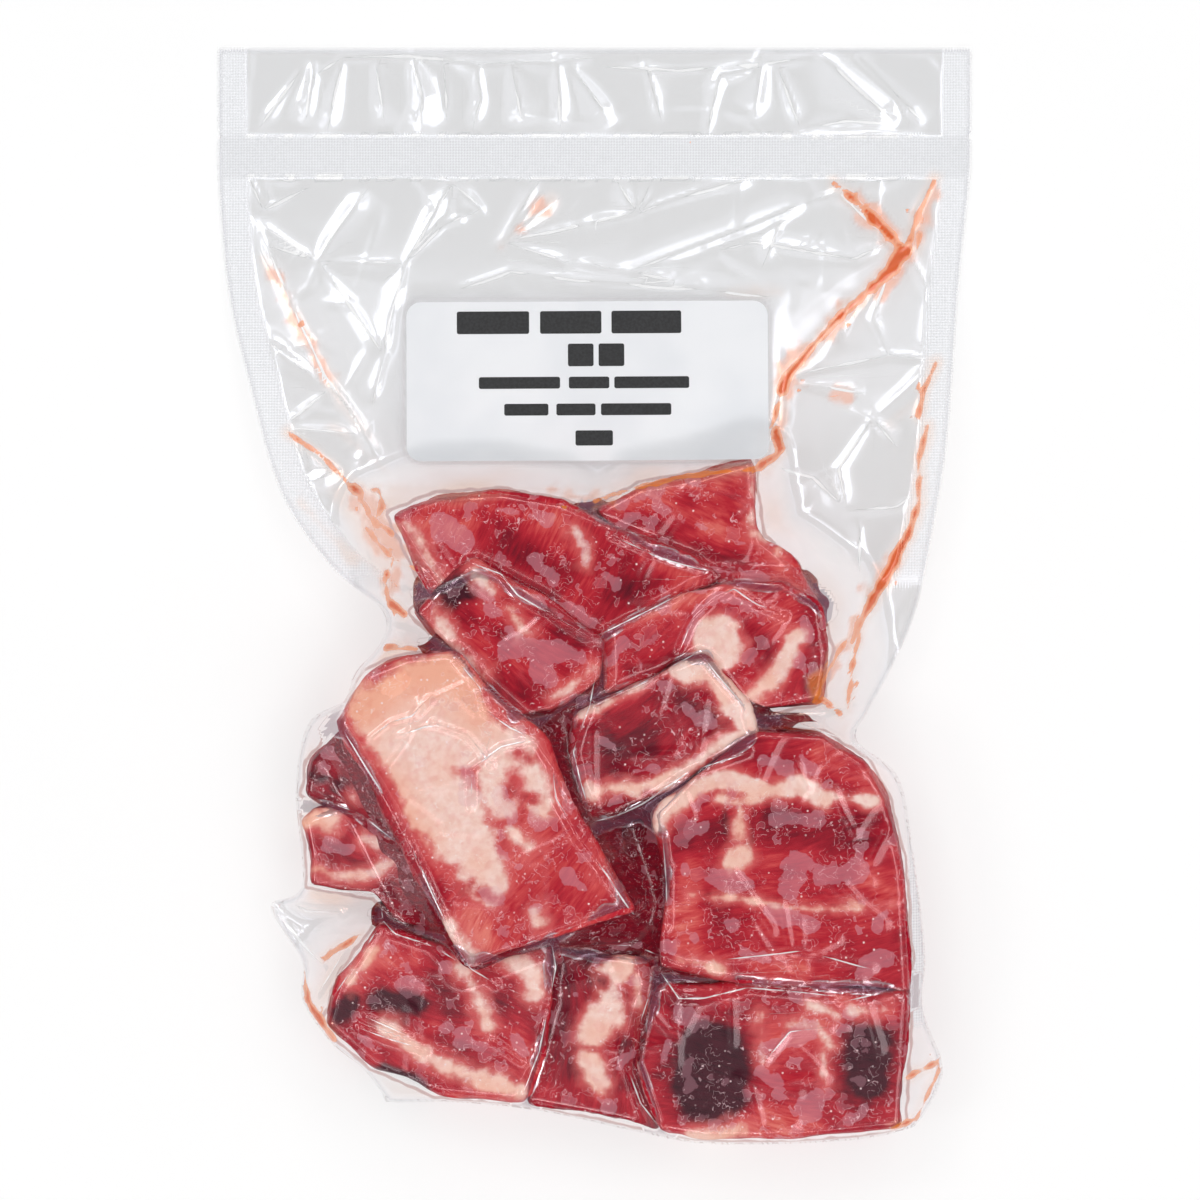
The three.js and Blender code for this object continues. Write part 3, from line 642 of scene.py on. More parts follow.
def drape_height(x, y, edge):
    """Height of the front film, smooth, without its creases."""
    height = seam_height(y) + LAID
    for one in CHUNKS:
        top, lean, corners = one["face"]
        inside = inset(x, y, corners)
        shoulder = np.clip(EDGE_ROUND - inside, 0, EDGE_ROUND)
        fall = EDGE_ROUND - np.sqrt(EDGE_ROUND**2 - shoulder**2)
        fall += GROOVE_SLOPE * np.clip(-inside, 0, None)
        height = bridged(height, face_height(x, y, top, lean, corners) + FILM_LIFT - fall)
    return np.minimum(height, seam_height(y) + LAID + WALL_SLOPE * edge)


def reach_of(x, y, rank):
    """How far each point is inside the block that it is deepest in, or second deepest."""
    return np.sort([inset(x, y, one["face"][2]) for one in CHUNKS], axis=0)[-rank]


grid = bpy.ops.mesh.primitive_grid_add
juice = added(grid, "juice", x_subdivisions=75, y_subdivisions=80, size=1)
points = coordinates(juice.data) * MM * JUICE_SHEET + JUICE_MIDDLE
edge_gap = inset(points[:, 0], points[:, 1], RIM)
kept = (reach_of(points[:, 0], points[:, 1], 2) > JUICE_REACH) & (edge_gap > JUICE_EDGE)
kept &= reach_of(points[:, 0], points[:, 1], 1) > JUICE_OUT
move_to(juice.data, points)
bpy.ops.object.mode_set(mode="EDIT")
bpy.ops.mesh.select_mode(type="VERT")
bpy.ops.mesh.select_all(action="DESELECT")
bpy.ops.object.mode_set(mode="OBJECT")
for vertex, stays in zip(juice.data.vertices, kept):
    vertex.select = not stays
bpy.ops.object.mode_set(mode="EDIT")
bpy.ops.mesh.delete(type="VERT")
bpy.ops.mesh.select_all(action="SELECT")
raise_selected(1)
face_outwards()
points = coordinates(juice.data)
upper = points[:, 2] > BED + 0.5
x, y = points[upper, 0], points[upper, 1]
level = drape_height(x, y, inset(x, y, RIM)) - JUICE_DROP + 0.8 * waves(points[upper], 4, 61)
points[upper, 2] = np.maximum(level, BED + 1)
move_to(juice.data, points)
apply_modifier(juice, "REMESH", mode="VOXEL", voxel_size=1.2 * MM)
apply_modifier(juice, "SMOOTH", factor=0.5, iterations=3)
points = coordinates(juice.data)
keep_field(juice.data, "fibres", points)
for field, amount in {"fat": -8, "dark": -2.5, "pale": -8, "peach": 0, "tone": 0.25}.items():
    keep_field(juice.data, field, amount + 0.7 * waves(points, 6, 62) * (field == "dark"))
bpy.ops.object.shade_smooth()
juice.data.materials.append(RAW_PORK)
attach(juice, "root")


# ---- The film ---------------------------------------------------------------------------------
# One skin of clear nylon and polythene film: the front drawn down over the meat by the vacuum,
# the back pressed flat under it, and the two together where there is nothing between them.
FILM_STEP = 0.82  # side of the squares of the front film; the back's are twice as large
POUCH_LENGTH = 266  # along its side, which is a little longer than the pack
NOTCH = 1.3  # depth of the tear notches at the upper edge of the band
RELAXING = 300  # rounds in which the squares even out
SHARPNESS = 1.4  # how hollow the sides of a fold are
STEEP_SIDE = 1.1  # how wide a crease's two sides are, as shares of its half width
BROAD_SIDE = (1.4, 2.8)
OPENED = (0.55, 1.35)  # and how that grows from its first end to its last
TAPER = 5  # a crease runs out to nothing over this length
LOW_END = 0.3  # a crease that ends by itself has this share of its height there
FACET = 12  # no two corners of the facets between the creases are closer than this
FACET_RISE = 1.5  # a facet's corner that is on no crease stands or lies by this at most
FACET_SHARE = 0.9  # how much of that the film below the band has
FLAP_SHARE = 0.6  # and the flap above it
WELD_FADE = 0.3  # a weld starts and ends over this, each way
WELD_WAVE = 0.12  # and its surface waves by this
FLANGE_RIGHT = (73.8, 74.6)  # beside the lowest blocks the weld shows again, right of this
FLANGE_TOP = (-44, -40)
FLANGE_FOOT = (-104, -100)
STANDING = (1, 7)  # the film is over meat where it stands this far above its seams

# Creases of the loose film: each has its half width, its height and its line.
CREASES = [
    (2.3, 0.5, (-80, 88), (-72, 69), (-64, 52), (-58, 44), (-50, 30)),
    (2.6, 0.58, (-66, 79.5), (-82, 90)), (1.4, 0.31, (-66, 79.5), (-80, 84)),
    (3.5, 0.77, (-66, 79.5), (-63, 85), (-54, 97)),
    (2.6, 0.58, (-66, 79.5), (-59, 70), (-50, 57)), (2.2, 0.48, (-66, 79.5), (-45, 79)),
    (1.9, 0.42, (-45, 79), (-36, 88), (-27, 92)), (2.8, 0.61, (-45, 79), (-34, 98)),
    (1.8, 0.4, (-45, 79), (-50, 75)), (2.8, 0.61, (-45, 79), (-49, 64), (-50, 57)),
    (1.8, 0.4, (-50, 57), (-53, 45)), (3.5, 0.77, (-27, 92), (-34, 98)),
    (1.8, 0.4, (-34, 98), (-40, 95)), (2.2, 0.48, (-82, 99), (-79, 92)),
    (1.4, 0.31, (-68, 97), (-80, 91)), (2.6, 0.58, (-76, 99), (-70, 99)),
    (2.3, 0.5, (-22, 84), (-5, 79)), (2.8, 0.61, (-22, 84), (-13, 99)),
    (1.6, 0.35, (-22, 84), (0, 89)), (3, 0.66, (-22, 84), (-8, 95)),
    (1.8, 0.4, (-32, 73), (-20, 77), (-5, 75), (20, 73), (42, 71)),
    (2.4, 0.53, (-86, 65), (-70, 55), (-64, 50)), (1.8, 0.4, (-63, 49), (-74, 40)),
    (3, 0.66, (-63, 49), (-80, 62)), (2, 0.44, (-63, 49), (-57, 44)),
    (2.6, 0.58, (-74, 40), (-55, 38)), (1.6, 0.35, (-74, 40), (-60, 28)),
    (2.8, 0.61, (-74, 40), (-68, 30)), (2, 0.44, (-54, 37), (-57, 28)),
    (2.2, 0.48, (-54, 37), (-60, 46)), (1.6, 0.35, (-54, 37), (-50, 30)),
    (3, 0.66, (-69, 26), (-60, 30)), (2.3, 0.5, (-69, 26), (-60, 12)),
    (2.8, 0.61, (10, 91), (5, 99)), (1.9, 0.42, (10, 91), (14, 99)),
    (3, 0.66, (10, 91), (-5, 88)), (2.3, 0.5, (10, 91), (25, 96), (40, 100)),
    (2.8, 0.61, (8, 77), (35, 87), (52, 94)), (1.4, 0.31, (8, 77), (-5, 80)),
    (2.8, 0.61, (8, 77), (20, 75)), (2, 0.44, (29, 82), (38, 84), (62, 80), (70, 84)),
    (2.6, 0.58, (52, 94), (58, 96), (70, 85)), (2, 0.44, (57, 98), (63, 94), (70, 86), (74, 82)),
    (4, 0.88, (75, 81), (70, 77), (63, 71), (56, 64), (50, 57), (46, 52)),
    (2, 0.44, (81, 99), (77, 92), (75, 85)), (2.8, 0.61, (46, 52), (44, 46), (42, 38), (40, 31)),
    (1.6, 0.35, (47, 52), (55, 54), (70, 57), (81, 56)), (2.8, 0.61, (50, 50), (65, 48)),
    (2.3, 0.5, (66, 42), (75, 50), (81, 56)), (2.4, 0.53, (66, 42), (72, 35)),
    (1.4, 0.31, (60, 20), (72, 21), (77, 25)), (2.8, 0.61, (63, 16), (63, 5)),
    (2.4, 0.53, (81, 56), (78, 48), (77, 42), (79, 38), (77, 18), (69, 4), (61, -11), (61, -25)),
    (2.2, 0.48, (66, 42), (58, 30), (60, 20)), (1.4, 0.31, (40, 31), (52, 28), (60, 20)),
    (3, 0.66, (75, 81), (81, 70), (81, 56)), (1.8, 0.4, (52, 94), (44, 88), (40, 78)),
    (2.2, 0.48, (70, 57), (66, 66), (70, 77)),
]
PLEATS = [
    (3.4, 0.69, (-60, 127), (-62, 118), (-64, 110)),
    (5.2, 1.05, (-43, 127), (-41, 118), (-42, 110)),
    (2.5, 0.51, (-28, 127), (-27, 118), (-29, 111)), (4.3, 0.87, (-20, 126), (-17, 112)),
    (3.4, 0.69, (-9, 128), (-8, 111)), (4.3, 0.87, (-5, 125), (5, 112)),
    (2.4, 0.48, (-70, 125), (-80, 111)), (4.3, 0.87, (-67, 126), (-69, 112)),
    (3.2, 0.63, (27, 111), (30, 124), (40, 126)), (4.3, 0.87, (40, 126), (38, 113)),
    (3, 0.6, (44, 125), (49, 111)), (6.1, 1.23, (55, 128), (72, 112)),
    (3.2, 0.63, (63, 128), (79, 112)), (3.8, 0.75, (50, 111), (60, 113), (72, 112)),
    (2, 0.39, (12, 127), (16, 112)), (3.8, 0.75, (-52, 126), (-50, 112)),
    (2.1, 0.42, (-36, 127), (-35, 113)),
    (1.8, 0.33, (-68, 123), (-60, 128), (-44, 128.6), (-26, 126.5), (0, 128)),
    (1.8, 0.33, (2, 126), (20, 125), (38, 126.4), (56, 128.5)),
]
# Folds that stand up where the film goes over from one block to the next.
FOLDS = [
    (1.4, 1.2, (-30, 8), (-22, 5), (-18, 0), (-8, -6), (0, -11)),
    (1.4, 1.2, (0, -10), (10, -5), (20, 0), (30, 6)),
    (1.3, 1.1, (4, 14), (14, 9.5), (25, 6), (32, 5)), (1.4, 1.2, (-46, 18), (-40, 8), (-35, 2)),
    (1.3, 1.1, (20, -13), (23, -6), (28, -1), (33, 1.5), (38, -2), (45, -5)),
    (1.4, 1.2, (-33, -14.5), (-27, -22), (-26, -27), (-20, -31), (-14, -34)),
    (1.5, 1.3, (-14, -34), (-10, -40), (-9, -48), (-4, -57), (3, -66), (9, -75), (13, -78)),
    (1.3, 1.0, (-14, -34), (-22, -36), (-29, -41), (-29, -50)),
    (1.5, 1.2, (-59, -32), (-48, -50), (-40, -66), (-32, -84)),
    (1.4, 1.2, (-32, -84), (-29, -88), (-23, -92)),
    (1.4, 1.2, (-62, -49), (-55, -52), (-47, -58)),
    (1.5, 1.3, (-68, -69), (-60, -70), (-51, -71), (-50, -77), (-47, -80), (-38, -83), (-31, -87)),
    (1.4, 1.1, (-63, -97), (-57, -88), (-50, -77)), (1.3, 1.0, (-66, -95), (-59, -84)),
    (1.4, 1.2, (1, -12), (0, -20), (-1, -26), (-3, -31), (-5, -37), (-3, -45), (-1, -52)),
    (1.3, 1.1, (0, -25), (11, -21), (25, -13)),
    (1.4, 1.2, (26, -15), (30, -20), (36, -27), (41, -31)),
    (1.4, 1.2, (-2, -54), (5, -52), (11, -49), (22, -42), (36, -37)),
    (1.3, 1.1, (16, -57), (17, -68), (17, -78)),
    (1.5, 1.5, (1, -82.5), (10, -83), (20, -87), (26, -88)),
    (1.6, 1.5, (15, -88), (20, -95), (26, -95), (36, -92.5), (57, -94.5)),
    (1.4, 1.2, (58, -96), (69, -93.5)),
    (1.4, 1.2, (-10, -82), (-9, -88), (-11, -97), (-13, -108), (-17, -118)),
    (1.3, 1.1, (-24, -105), (-17, -110)), (1.4, 1.5, (-56, -102), (-48, -105), (-40, -107.5)),
    (1.2, 1.2, (-54, -99.5), (-44, -104)), (1.3, 1.1, (14, -92), (11, -100), (10.5, -106)),
    (1.2, 1.0, (4, -111), (8, -109)), (1.4, 1.1, (8, -112), (11, -120), (17, -128)),
    (1.2, 0.5, (-53, -34), (-48, -30), (-43, -28.5), (-39, -24)),
    (1.2, 0.4, (-46, -33), (-40, -31), (-34, -31)), (1.2, 0.4, (-32, -24), (-28, -28)),
    (1.3, 0.5, (30, -86), (48, -84), (66, -88)), (1.3, 0.5, (40, -110), (46, -103), (56, -102)),
    (1.6, 1.5, (-75, -72), (-68, -75), (-60, -75)),
    (1.6, 1.5, (-77, -74), (-68, -84), (-64, -88)), (1.4, 1.0, (42, -28), (56, -33), (68, -38)),
    (1.3, 0.9, (-38, -30), (-30, -33), (-24, -40)),
]


def off_line(x, y, line):
    """Distance in plan from a line, positive to its left, how far along it each point is, and
    the line's length."""
    stops = np.concatenate([[0], np.cumsum([math.dist(a, b) for a, b in zip(line, line[1:])])])
    across = np.full(np.shape(x), np.inf)
    walked = np.zeros(np.shape(x))
    for (ax, ay), (bx, by), start, end in zip(line, line[1:], stops, stops[1:]):
        ux, uy = bx - ax, by - ay
        t = np.clip(((x - ax) * ux + (y - ay) * uy) / (ux * ux + uy * uy), 0, 1)
        distance = np.hypot(x - ax - t * ux, y - ay - t * uy)
        nearer = distance < np.abs(across)
        left = np.where(ux * (y - ay) > uy * (x - ax), 1, -1)
        across[nearer] = (distance * left)[nearer]
        walked[nearer] = (start + t * (end - start))[nearer]
    return across, walked, stops[-1]


def ridges(x, y, lines):
    """Sharp ridges along the lines, equal on both sides."""
    height = np.zeros(np.shape(x))
    for half, rise, *line in lines:
        share = np.clip(1 - line_distance(x, y, line) / half, 0, 1)
        height = np.maximum(height, rise * share**SHARPNESS)
    return height


def pulled(x, y, lines, seed):
    """Ridges of a film that is pulled from a point: each widens from its first end to its last,
    and has a steep side and a broad one that runs out gently."""
    draw = np.random.default_rng(seed)
    height = np.zeros(np.shape(x))
    for half, rise, *line in lines:
        across, walked, length = off_line(x, y, line)
        left, right = draw.permutation([STEEP_SIDE, draw.uniform(*BROAD_SIDE)])
        opened = OPENED[0] + (OPENED[1] - OPENED[0]) * walked / length
        reach = half * opened * np.where(across > 0, left, right)
        share = np.clip(1 - np.abs(across) / reach, 0, 1)
        share *= np.clip((length - walked) / TAPER, 0, 1) ** 0.5
        height = np.maximum(height, rise * opened * share**2)
    return height


def facets(x, y, lines, seed):
    """Height of a film that is stretched in flat triangles between the points of the creases."""
    draw = np.random.default_rng(seed)
    points, rises, ties = [], [], []
    for _, rise, *line in lines:
        for k, point in enumerate(line):
            if k:
                ties.append((len(points) - 1, len(points)))
            shared = sum(point in other[2:] for other in lines) > 1
            points.append(point)
            rises.append(rise if shared or 0 < k < len(line) - 1 else rise * LOW_END)
    low, high = (x.min(), y.min()), (x.max(), y.max())
    for _ in range(1500):
        point = tuple(draw.uniform(low, high))
        if min(math.dist(point, other) for other in points) > FACET:
            points.append(point)
            rises.append(draw.uniform(-FACET_RISE, FACET_RISE))
    net, _, faces, origin, _, _ = delaunay_2d_cdt([Vector(p) for p in points], ties, [], 0, 0.05)
    height = np.zeros(np.shape(x))
    for face in faces:
        a, b, c = (np.array(net[i]) for i in face)
        ha, hb, hc = (np.mean([rises[k] for k in origin[i]] or [1.0]) for i in face)
        area = np.cross(b - a, c - a)
        if abs(area) < 1e-6:
            continue
        u = ((b[0] - x) * (c[1] - y) - (b[1] - y) * (c[0] - x)) / area
        v = ((c[0] - x) * (a[1] - y) - (c[1] - y) * (a[0] - x)) / area
        within = (u >= -1e-6) & (v >= -1e-6) & (u + v <= 1 + 1e-6)
        height[within] = (u * ha + v * hb + (1 - u - v) * hc)[within]
    return height


def across_lines(x, y, lines):
    """Distance to the nearest line, and that line's strength there, less towards its ends."""
    nearest = np.full(np.shape(x), 9.0)
    strength = np.zeros(np.shape(x))
    for _, _, *line in lines:
        across, walked, length = off_line(x, y, line)
        nearer = np.abs(across) < np.abs(nearest)
        nearest[nearer] = across[nearer]
        strength[nearer] = np.clip(np.minimum(walked, length - walked) / TAPER, 0, 1)[nearer]
    return nearest, strength


def softened(height, times):
    for _ in range(times):
        height = height.copy()
        height[1:-1, 1:-1] = (
            4 * height[1:-1, 1:-1] + height[:-2, 1:-1] + height[2:, 1:-1]
            + height[1:-1, :-2] + height[1:-1, 2:]) / 8
    return height


def chance_lines(count, seed, low, high, length, half, rise):
    """Creases laid by chance, with middles between two heights of the plan."""
    draw = np.random.default_rng(seed)
    lines = []
    for _ in range(count):
        a = np.array([draw.uniform(-85, 85), draw.uniform(low, high)])
        turn = draw.uniform(0, math.pi)
        b = a + draw.uniform(*length) * np.array([math.cos(turn), math.sin(turn)])
        bend = (a + b) / 2 + draw.normal(0, 0.1, 2) * np.abs(b - a)
        lines.append((draw.uniform(*half), draw.uniform(*rise), tuple(a), tuple(bend), tuple(b)))
    return lines


def film_plan(columns, rows):
    """Rows of points from the foot to the mouth that fill the pouch's outline."""
    left = along(LEFT_EDGE, rows + 1)[::-1]
    right = along(RIGHT_EDGE, rows + 1)
    foot = along(FOOT_EDGE, columns + 1)
    mouth = along([(-90, MOUTH), (90, MOUTH)], columns + 1)
    u = np.linspace(0, 1, columns + 1)[None, :, None]
    v = np.linspace(0, 1, rows + 1)[:, None, None]
    plan = ((1 - v) * foot + v * mouth + (1 - u) * left[:, None] + u * right[:, None]
            - (1 - u) * (1 - v) * foot[0] - u * (1 - v) * foot[-1]
            - (1 - u) * v * mouth[0] - u * v * mouth[-1])
    for _ in range(RELAXING):
        plan[1:-1, 1:-1] = (
            plan[:-2, 1:-1] + plan[2:, 1:-1] + plan[1:-1, :-2] + plan[1:-1, 2:]) / 4
    for column, side in ((0, 1), (-1, -1)):
        notch = np.clip(1 - np.abs(plan[:, column, 1] - BAND_HIGH), 0, 1)
        plan[:, column, 0] += side * NOTCH * notch
    return plan


def film_sheet(name, columns, rows, heights):
    sheet = added(grid, name, x_subdivisions=columns, y_subdivisions=rows, size=1)
    move_to(sheet.data, heights.reshape(-1, 3))
    return sheet


def past(value, at):
    """0 before a weld's edge and 1 past it."""
    return smoothstep(value, at - WELD_FADE, at + WELD_FADE)


COLUMNS = 2 * round(POUCH_WIDTH / FILM_STEP / 2)
ROWS = 2 * round(POUCH_LENGTH / FILM_STEP / 2)
LABEL_AT = (-1.7, 50.9)
LABEL_SIZE = (86, 38)
LABEL_CORNER = 3.5
SIDES = (np.s_[0, :], np.s_[-1, :], np.s_[:, 0], np.s_[:, -1])

plan = film_plan(COLUMNS, ROWS)
x, y = plan[..., 0], plan[..., 1]
edge = np.abs(inset(x, y, RIM + [RIM[0]]))
beside = smoothstep(y, 0, 8)
flange = smoothstep(x, *FLANGE_RIGHT) * (1 - smoothstep(y, *FLANGE_TOP))
flange *= smoothstep(y, *FLANGE_FOOT)
side_edge = np.abs(inset(x, np.minimum(y, MOUTH - 2 * SIDE_SEAL), RIM + [RIM[0]]))
seal = (1 - past(side_edge, SIDE_SEAL)) * np.maximum(beside, flange)
band = past(y, BAND_LOW) * (1 - past(y, BAND_HIGH))
weld = np.maximum(seal, band)
from_corner_x = np.abs(x - LABEL_AT[0]) - LABEL_SIZE[0] / 2 + LABEL_CORNER
from_corner_y = np.abs(y - LABEL_AT[1]) - LABEL_SIZE[1] / 2 + LABEL_CORNER
label_gap = np.hypot(np.clip(from_corner_x, 0, None), np.clip(from_corner_y, 0, None))
label_gap = label_gap - LABEL_CORNER + np.minimum(np.maximum(from_corner_x, from_corner_y), 0)
calm = smoothstep(label_gap, 0, 5) * (1 - weld) * smoothstep(side_edge, 1, 5)
drape = drape_height(x, y, edge)
over_meat = smoothstep(drape - seam_height(y) - LAID, *STANDING)
lines = CREASES + PLEATS
loose_film = softened(facets(x, y, lines, 5), 3) * np.where(y < BAND_LOW, FACET_SHARE, FLAP_SHARE)
loose_film += pulled(x, y, lines, 7)
loose_film += pulled(x, y, chance_lines(20, 3, 15, 130, (10, 26), (1.2, 2.4), (0.2, 0.4)), 8)
loose_film += pulled(x, y, chance_lines(45, 12, 8, 98, (5, 16), (1.3, 2.6), (0.12, 0.34)), 9)
tight_film = ridges(x, y, chance_lines(150, 4, -128, 30, (6, 18), (1.5, 2.2), (0.15, 0.4)))
height = drape + calm * (1 - over_meat) * loose_film
height += over_meat * tight_film * smoothstep(edge, 1, 4)
height += ridges(x, y, FOLDS) * smoothstep(edge, 1, 3)
in_plan = np.dstack([x, y, 0 * x]).reshape(-1, 3)
height += weld * WELD_WAVE * waves(in_plan, 14, 9).reshape(x.shape)

first, second = reach_of(x, y, 1), reach_of(x, y, 2)
back_at = np.s_[::2, ::2]
pressed_flat = smoothstep(first[back_at], -6, 3.5) * smoothstep(edge[back_at], 0, 3.5)
under = (seam_height(y[back_at]) - LAID) * (1 - pressed_flat)
for side in SIDES:
    under[side] = height[back_at][side]

film = film_sheet("film", COLUMNS, ROWS, np.dstack([x, y, height]))
back = film_sheet("back", COLUMNS // 2, ROWS // 2, np.dstack([x[back_at], y[back_at], under]))
bpy.ops.object.mode_set(mode="EDIT")
bpy.ops.mesh.select_mode(type="EDGE")
bpy.ops.mesh.select_all(action="DESELECT")
bpy.ops.mesh.select_non_manifold()
bpy.ops.mesh.subdivide(number_cuts=1)
bpy.ops.mesh.select_all(action="SELECT")
bpy.ops.mesh.flip_normals()
bpy.ops.mesh.select_mode(type="VERT")
bpy.ops.mesh.select_all(action="DESELECT")
bpy.ops.mesh.select_non_manifold()
bpy.ops.object.mode_set(mode="OBJECT")
rim_points = np.vstack([np.dstack([x, y, height])[side] for side in SIDES])
nearest_rim = KDTree(len(rim_points))
for k, point in enumerate(rim_points):
    nearest_rim.insert(point * MM, k)
nearest_rim.balance()
for vertex in back.data.vertices:
    if vertex.select:
        vertex.co = nearest_rim.find(vertex.co)[0]
front_count = len(film.data.vertices)
only(film)
back.select_set(True)
bpy.ops.object.join()
film_points = coordinates(film.data)

# What the film's surface is like at each of its points: how much of it one sees, in which
# colour, and how bright its shine is.
JUICE = [
    (0.4, (57, 98), (60, 96)), (0.8, (60, 96), (66, 90)), (1.2, (66, 90), (73, 83)),
    (0.5, (81, 99), (77, 90), (75, 84)), (0.3, (78, 90), (77, 82)), (1.7, (74, 82), (71, 78)),
    (1.3, (71, 78), (66, 73)), (1.0, (66, 73), (58, 66)), (0.7, (58, 66), (51, 58), (46, 52)),
    (1.0, (46, 52), (44, 48)), (0.6, (44, 46), (42, 40)), (1.2, (43, 39), (44, 35)),
    (0.9, (44, 34), (40, 31)), (0.4, (39, 30), (20, 28), (5, 24), (0, 22)),
    (0.5, (81, 55), (78, 48), (77, 42)), (0.5, (79, 40), (77, 32), (77, 22)),
    (0.7, (77, 22), (74, 13)), (1.2, (73, 12), (69, 4), (65, -3)), (0.7, (65, -3), (61, -11)),
    (0.35, (63, -8), (61, -17), (60, -27)), (0.35, (60, -10), (55, -18), (52, -25)),
    (0.4, (-73, 38.5), (-66, 34), (-58, 26)), (1.1, (-57.5, 25.5), (-55.5, 24)),
    (0.35, (-56, 24.5), (-51, 24.8), (-50, 21), (-51, 19)),
    (0.6, (-56, 24), (-53, 18.5), (-48, 14.5)),
    (0.35, (-54, 16), (-50, 11), (-47.5, 8.5), (-42, 6)),
    (0.4, (-47.5, 8.5), (-49.5, 4), (-49, -1)), (0.9, (-48, -2), (-45, -4.5)),
    (0.6, (-49, -12), (-42, -13)), (0.5, (-70, -87), (-68, -95)), (0.9, (-68, -96), (-62, -105)),
    (0.5, (82, -110), (74, -114)), (0.5, (82, -112), (76, -124), (70, -126)),
    (0.7, (54, -25), (58, -28)), (0.4, (-64, -86), (-55, -80)),
]
WASH = [
    (2.2, (-55, 23), (-51, 17)), (3.0, (-51, 16), (-46, 10)), (1.8, (-46, 8), (-48, 2)),
    (1.6, (70, 7), (66, 0)), (1.8, (75, 81), (66, 73)), (1.4, (66, 73), (50, 57), (46, 52)),
    (1.4, (81, 96), (76, 84)), (1.8, (62, -7), (57, -16), (53, -22)), (1.6, (72, 84), (63, 94)),
    (1.2, (46, 50), (44, 36)), (1.0, (46, 52), (54, 48), (60, 47)), (1.0, (-21, 85), (-14, 92)),
    (0.9, (-76, 76), (-70, 64), (-64, 52)), (1.4, (-10, 25), (-2, 22.5), (4, 22)),
]
PALE_JUICE = [
    (1.4, (-79, 80), (-66, 57), (-60, 45), (-51, 35)), (1.2, (46, 51), (52, 48), (60, 46)),
    (1.0, (77, 47), (70, 41)), (1.2, (-22, 84), (-10, 94.5)), (1.4, (-70, 22), (-58, 9)),
    (3.0, (-60, 24), (-48, 6)), (2.0, (-48, 25), (0, 25), (38, 31)), (2.4, (41, 29), (46, 50)),
    (1.6, (42, 12), (54, 2), (58, -20)), (1.6, (-50, 30), (-62, 40)), (1.2, (30, 72), (44, 72)),
]
front = film_points[:front_count]
fx, fy = front[:, :2].T
edge, weld = edge.ravel(), weld.ravel()
second, first = second.ravel(), first.ravel()
ragged = 0.5 * waves(front, 3, 21) + 0.4 * waves(front, 1.7, 22)
slow = waves(front, 9, 24)
flat = 1 - over_meat.ravel()
outside = 1 - smoothstep(second, -4.5, -2)
around = smoothstep(first, -9, -2) * (1 - smoothstep(first, -1, 0)) * outside
halo = 0.7 * smoothstep(painted(PALE_JUICE, fx, fy) + slow + 0.4 * ragged, -1.5, 2.5)
halo = np.maximum(halo, 0.7 * smoothstep(painted(JUICE, fx, fy) + 0.5 * ragged, -2.4, 0.2))
halo = np.maximum(halo, around * (0.5 + 0.4 * slow) * (1 - smoothstep(fx, 66, 72)))
halo *= smoothstep(edge, 1, 3)
wash = smoothstep(painted(WASH, fx, fy) + slow + 1.6 * ragged, -1.2, 1.0)
specks = waves(front, 1.8, 25) + 1.2 * smoothstep(painted(WASH + JUICE, fx, fy), -4, 0) - 2.7
stitches = np.maximum(np.abs(fy - BAND_LOW) < 0.5, np.abs(fy - BAND_HIGH) < 0.5)
stitches = stitches * (1 - seal.ravel()) * smoothstep(waves(front * (1, 0, 0), 1.7, 23), -0.4, 0.4)
# Where the film bridges two blocks: for the groove's painted shade and painted edge glints.
bridge = 0.7 + 0.6 * slow + 0.3 * ragged - np.abs(first - second) / 2
bridge = np.where(second > -4, np.maximum(bridge, -first - 0.4), -3)
bridge = np.where(first < -2.5, -3, np.clip(bridge, -3, 3))
rim_line = np.where(second > -4, 5, first + 0.9 + 0.35 * ragged)
label_shade = 1 - np.abs(label_gap.ravel() - 0.5) / 1.3
edge_line = 1 - np.abs(edge - 0.85) / 0.8
# Where the creases and folds are, for the white highlights painted along them.
across, strength = across_lines(fx, fy, CREASES + PLEATS + FOLDS)
strength = strength * (1 - weld) * (0.55 + 0.45 * flat) * smoothstep(ragged + slow, -1.2, 0.8)
CLEAR = (236, 236, 240)
PATCH_TINTS = [  # share of the film there, its colour, how much of it one sees, and its shine
    (flat, (218, 221, 232), 0.25, 0.9), (1 - flat, (252, 230, 234), 0.075, 0.95),
    (weld, (236, 238, 245), 0.44, 0.3), (band.ravel(), (220, 222, 229), 0.46, 0.3),
    (stitches, (255, 255, 255), 0.7, 0.2), (halo, (244, 180, 132), 0.32, 0.4),
    (wash, (246, 142, 78), 0.5, 0.1), (edge_line, (196, 198, 208), 0.42, 0.3),
    (edge < 0.1, CLEAR, 0.05, 0.3), (label_shade, (186, 180, 184), 0.45, 0.2),
]
tint = np.zeros((front_count, 3))
cover = np.zeros(front_count)
shine = np.zeros(front_count)
for share, colour, seen, bright in PATCH_TINTS:
    share = np.clip(share, 0, 1)
    tint += (np.array(srgb(*colour)[:3]) - tint) * share[:, None]
    cover += (seen - cover) * share
    shine += (bright - shine) * share
rest = len(film_points) - front_count
tint = np.vstack([tint, np.tile(srgb(*CLEAR)[:3], (rest, 1))])
keep_field(film.data, "tint", tint)
for field, on_front, on_back in (
        ("cover", cover, 0.05), ("shine", shine, 0.3), ("weld", weld, 0), ("bridge", bridge, -3),
        ("glint", smoothstep(slow + 1.5 * ragged, -0.2, 1.4), 0), ("rim", rim_line, 5),
        ("wet", np.maximum(painted(JUICE, fx, fy) + 0.5 * ragged, specks), -9),
        ("across", across + 0.15 * slow, 9), ("strength", strength, 0)):
    keep_field(film.data, field, np.append(on_front, np.full(rest, on_back)))
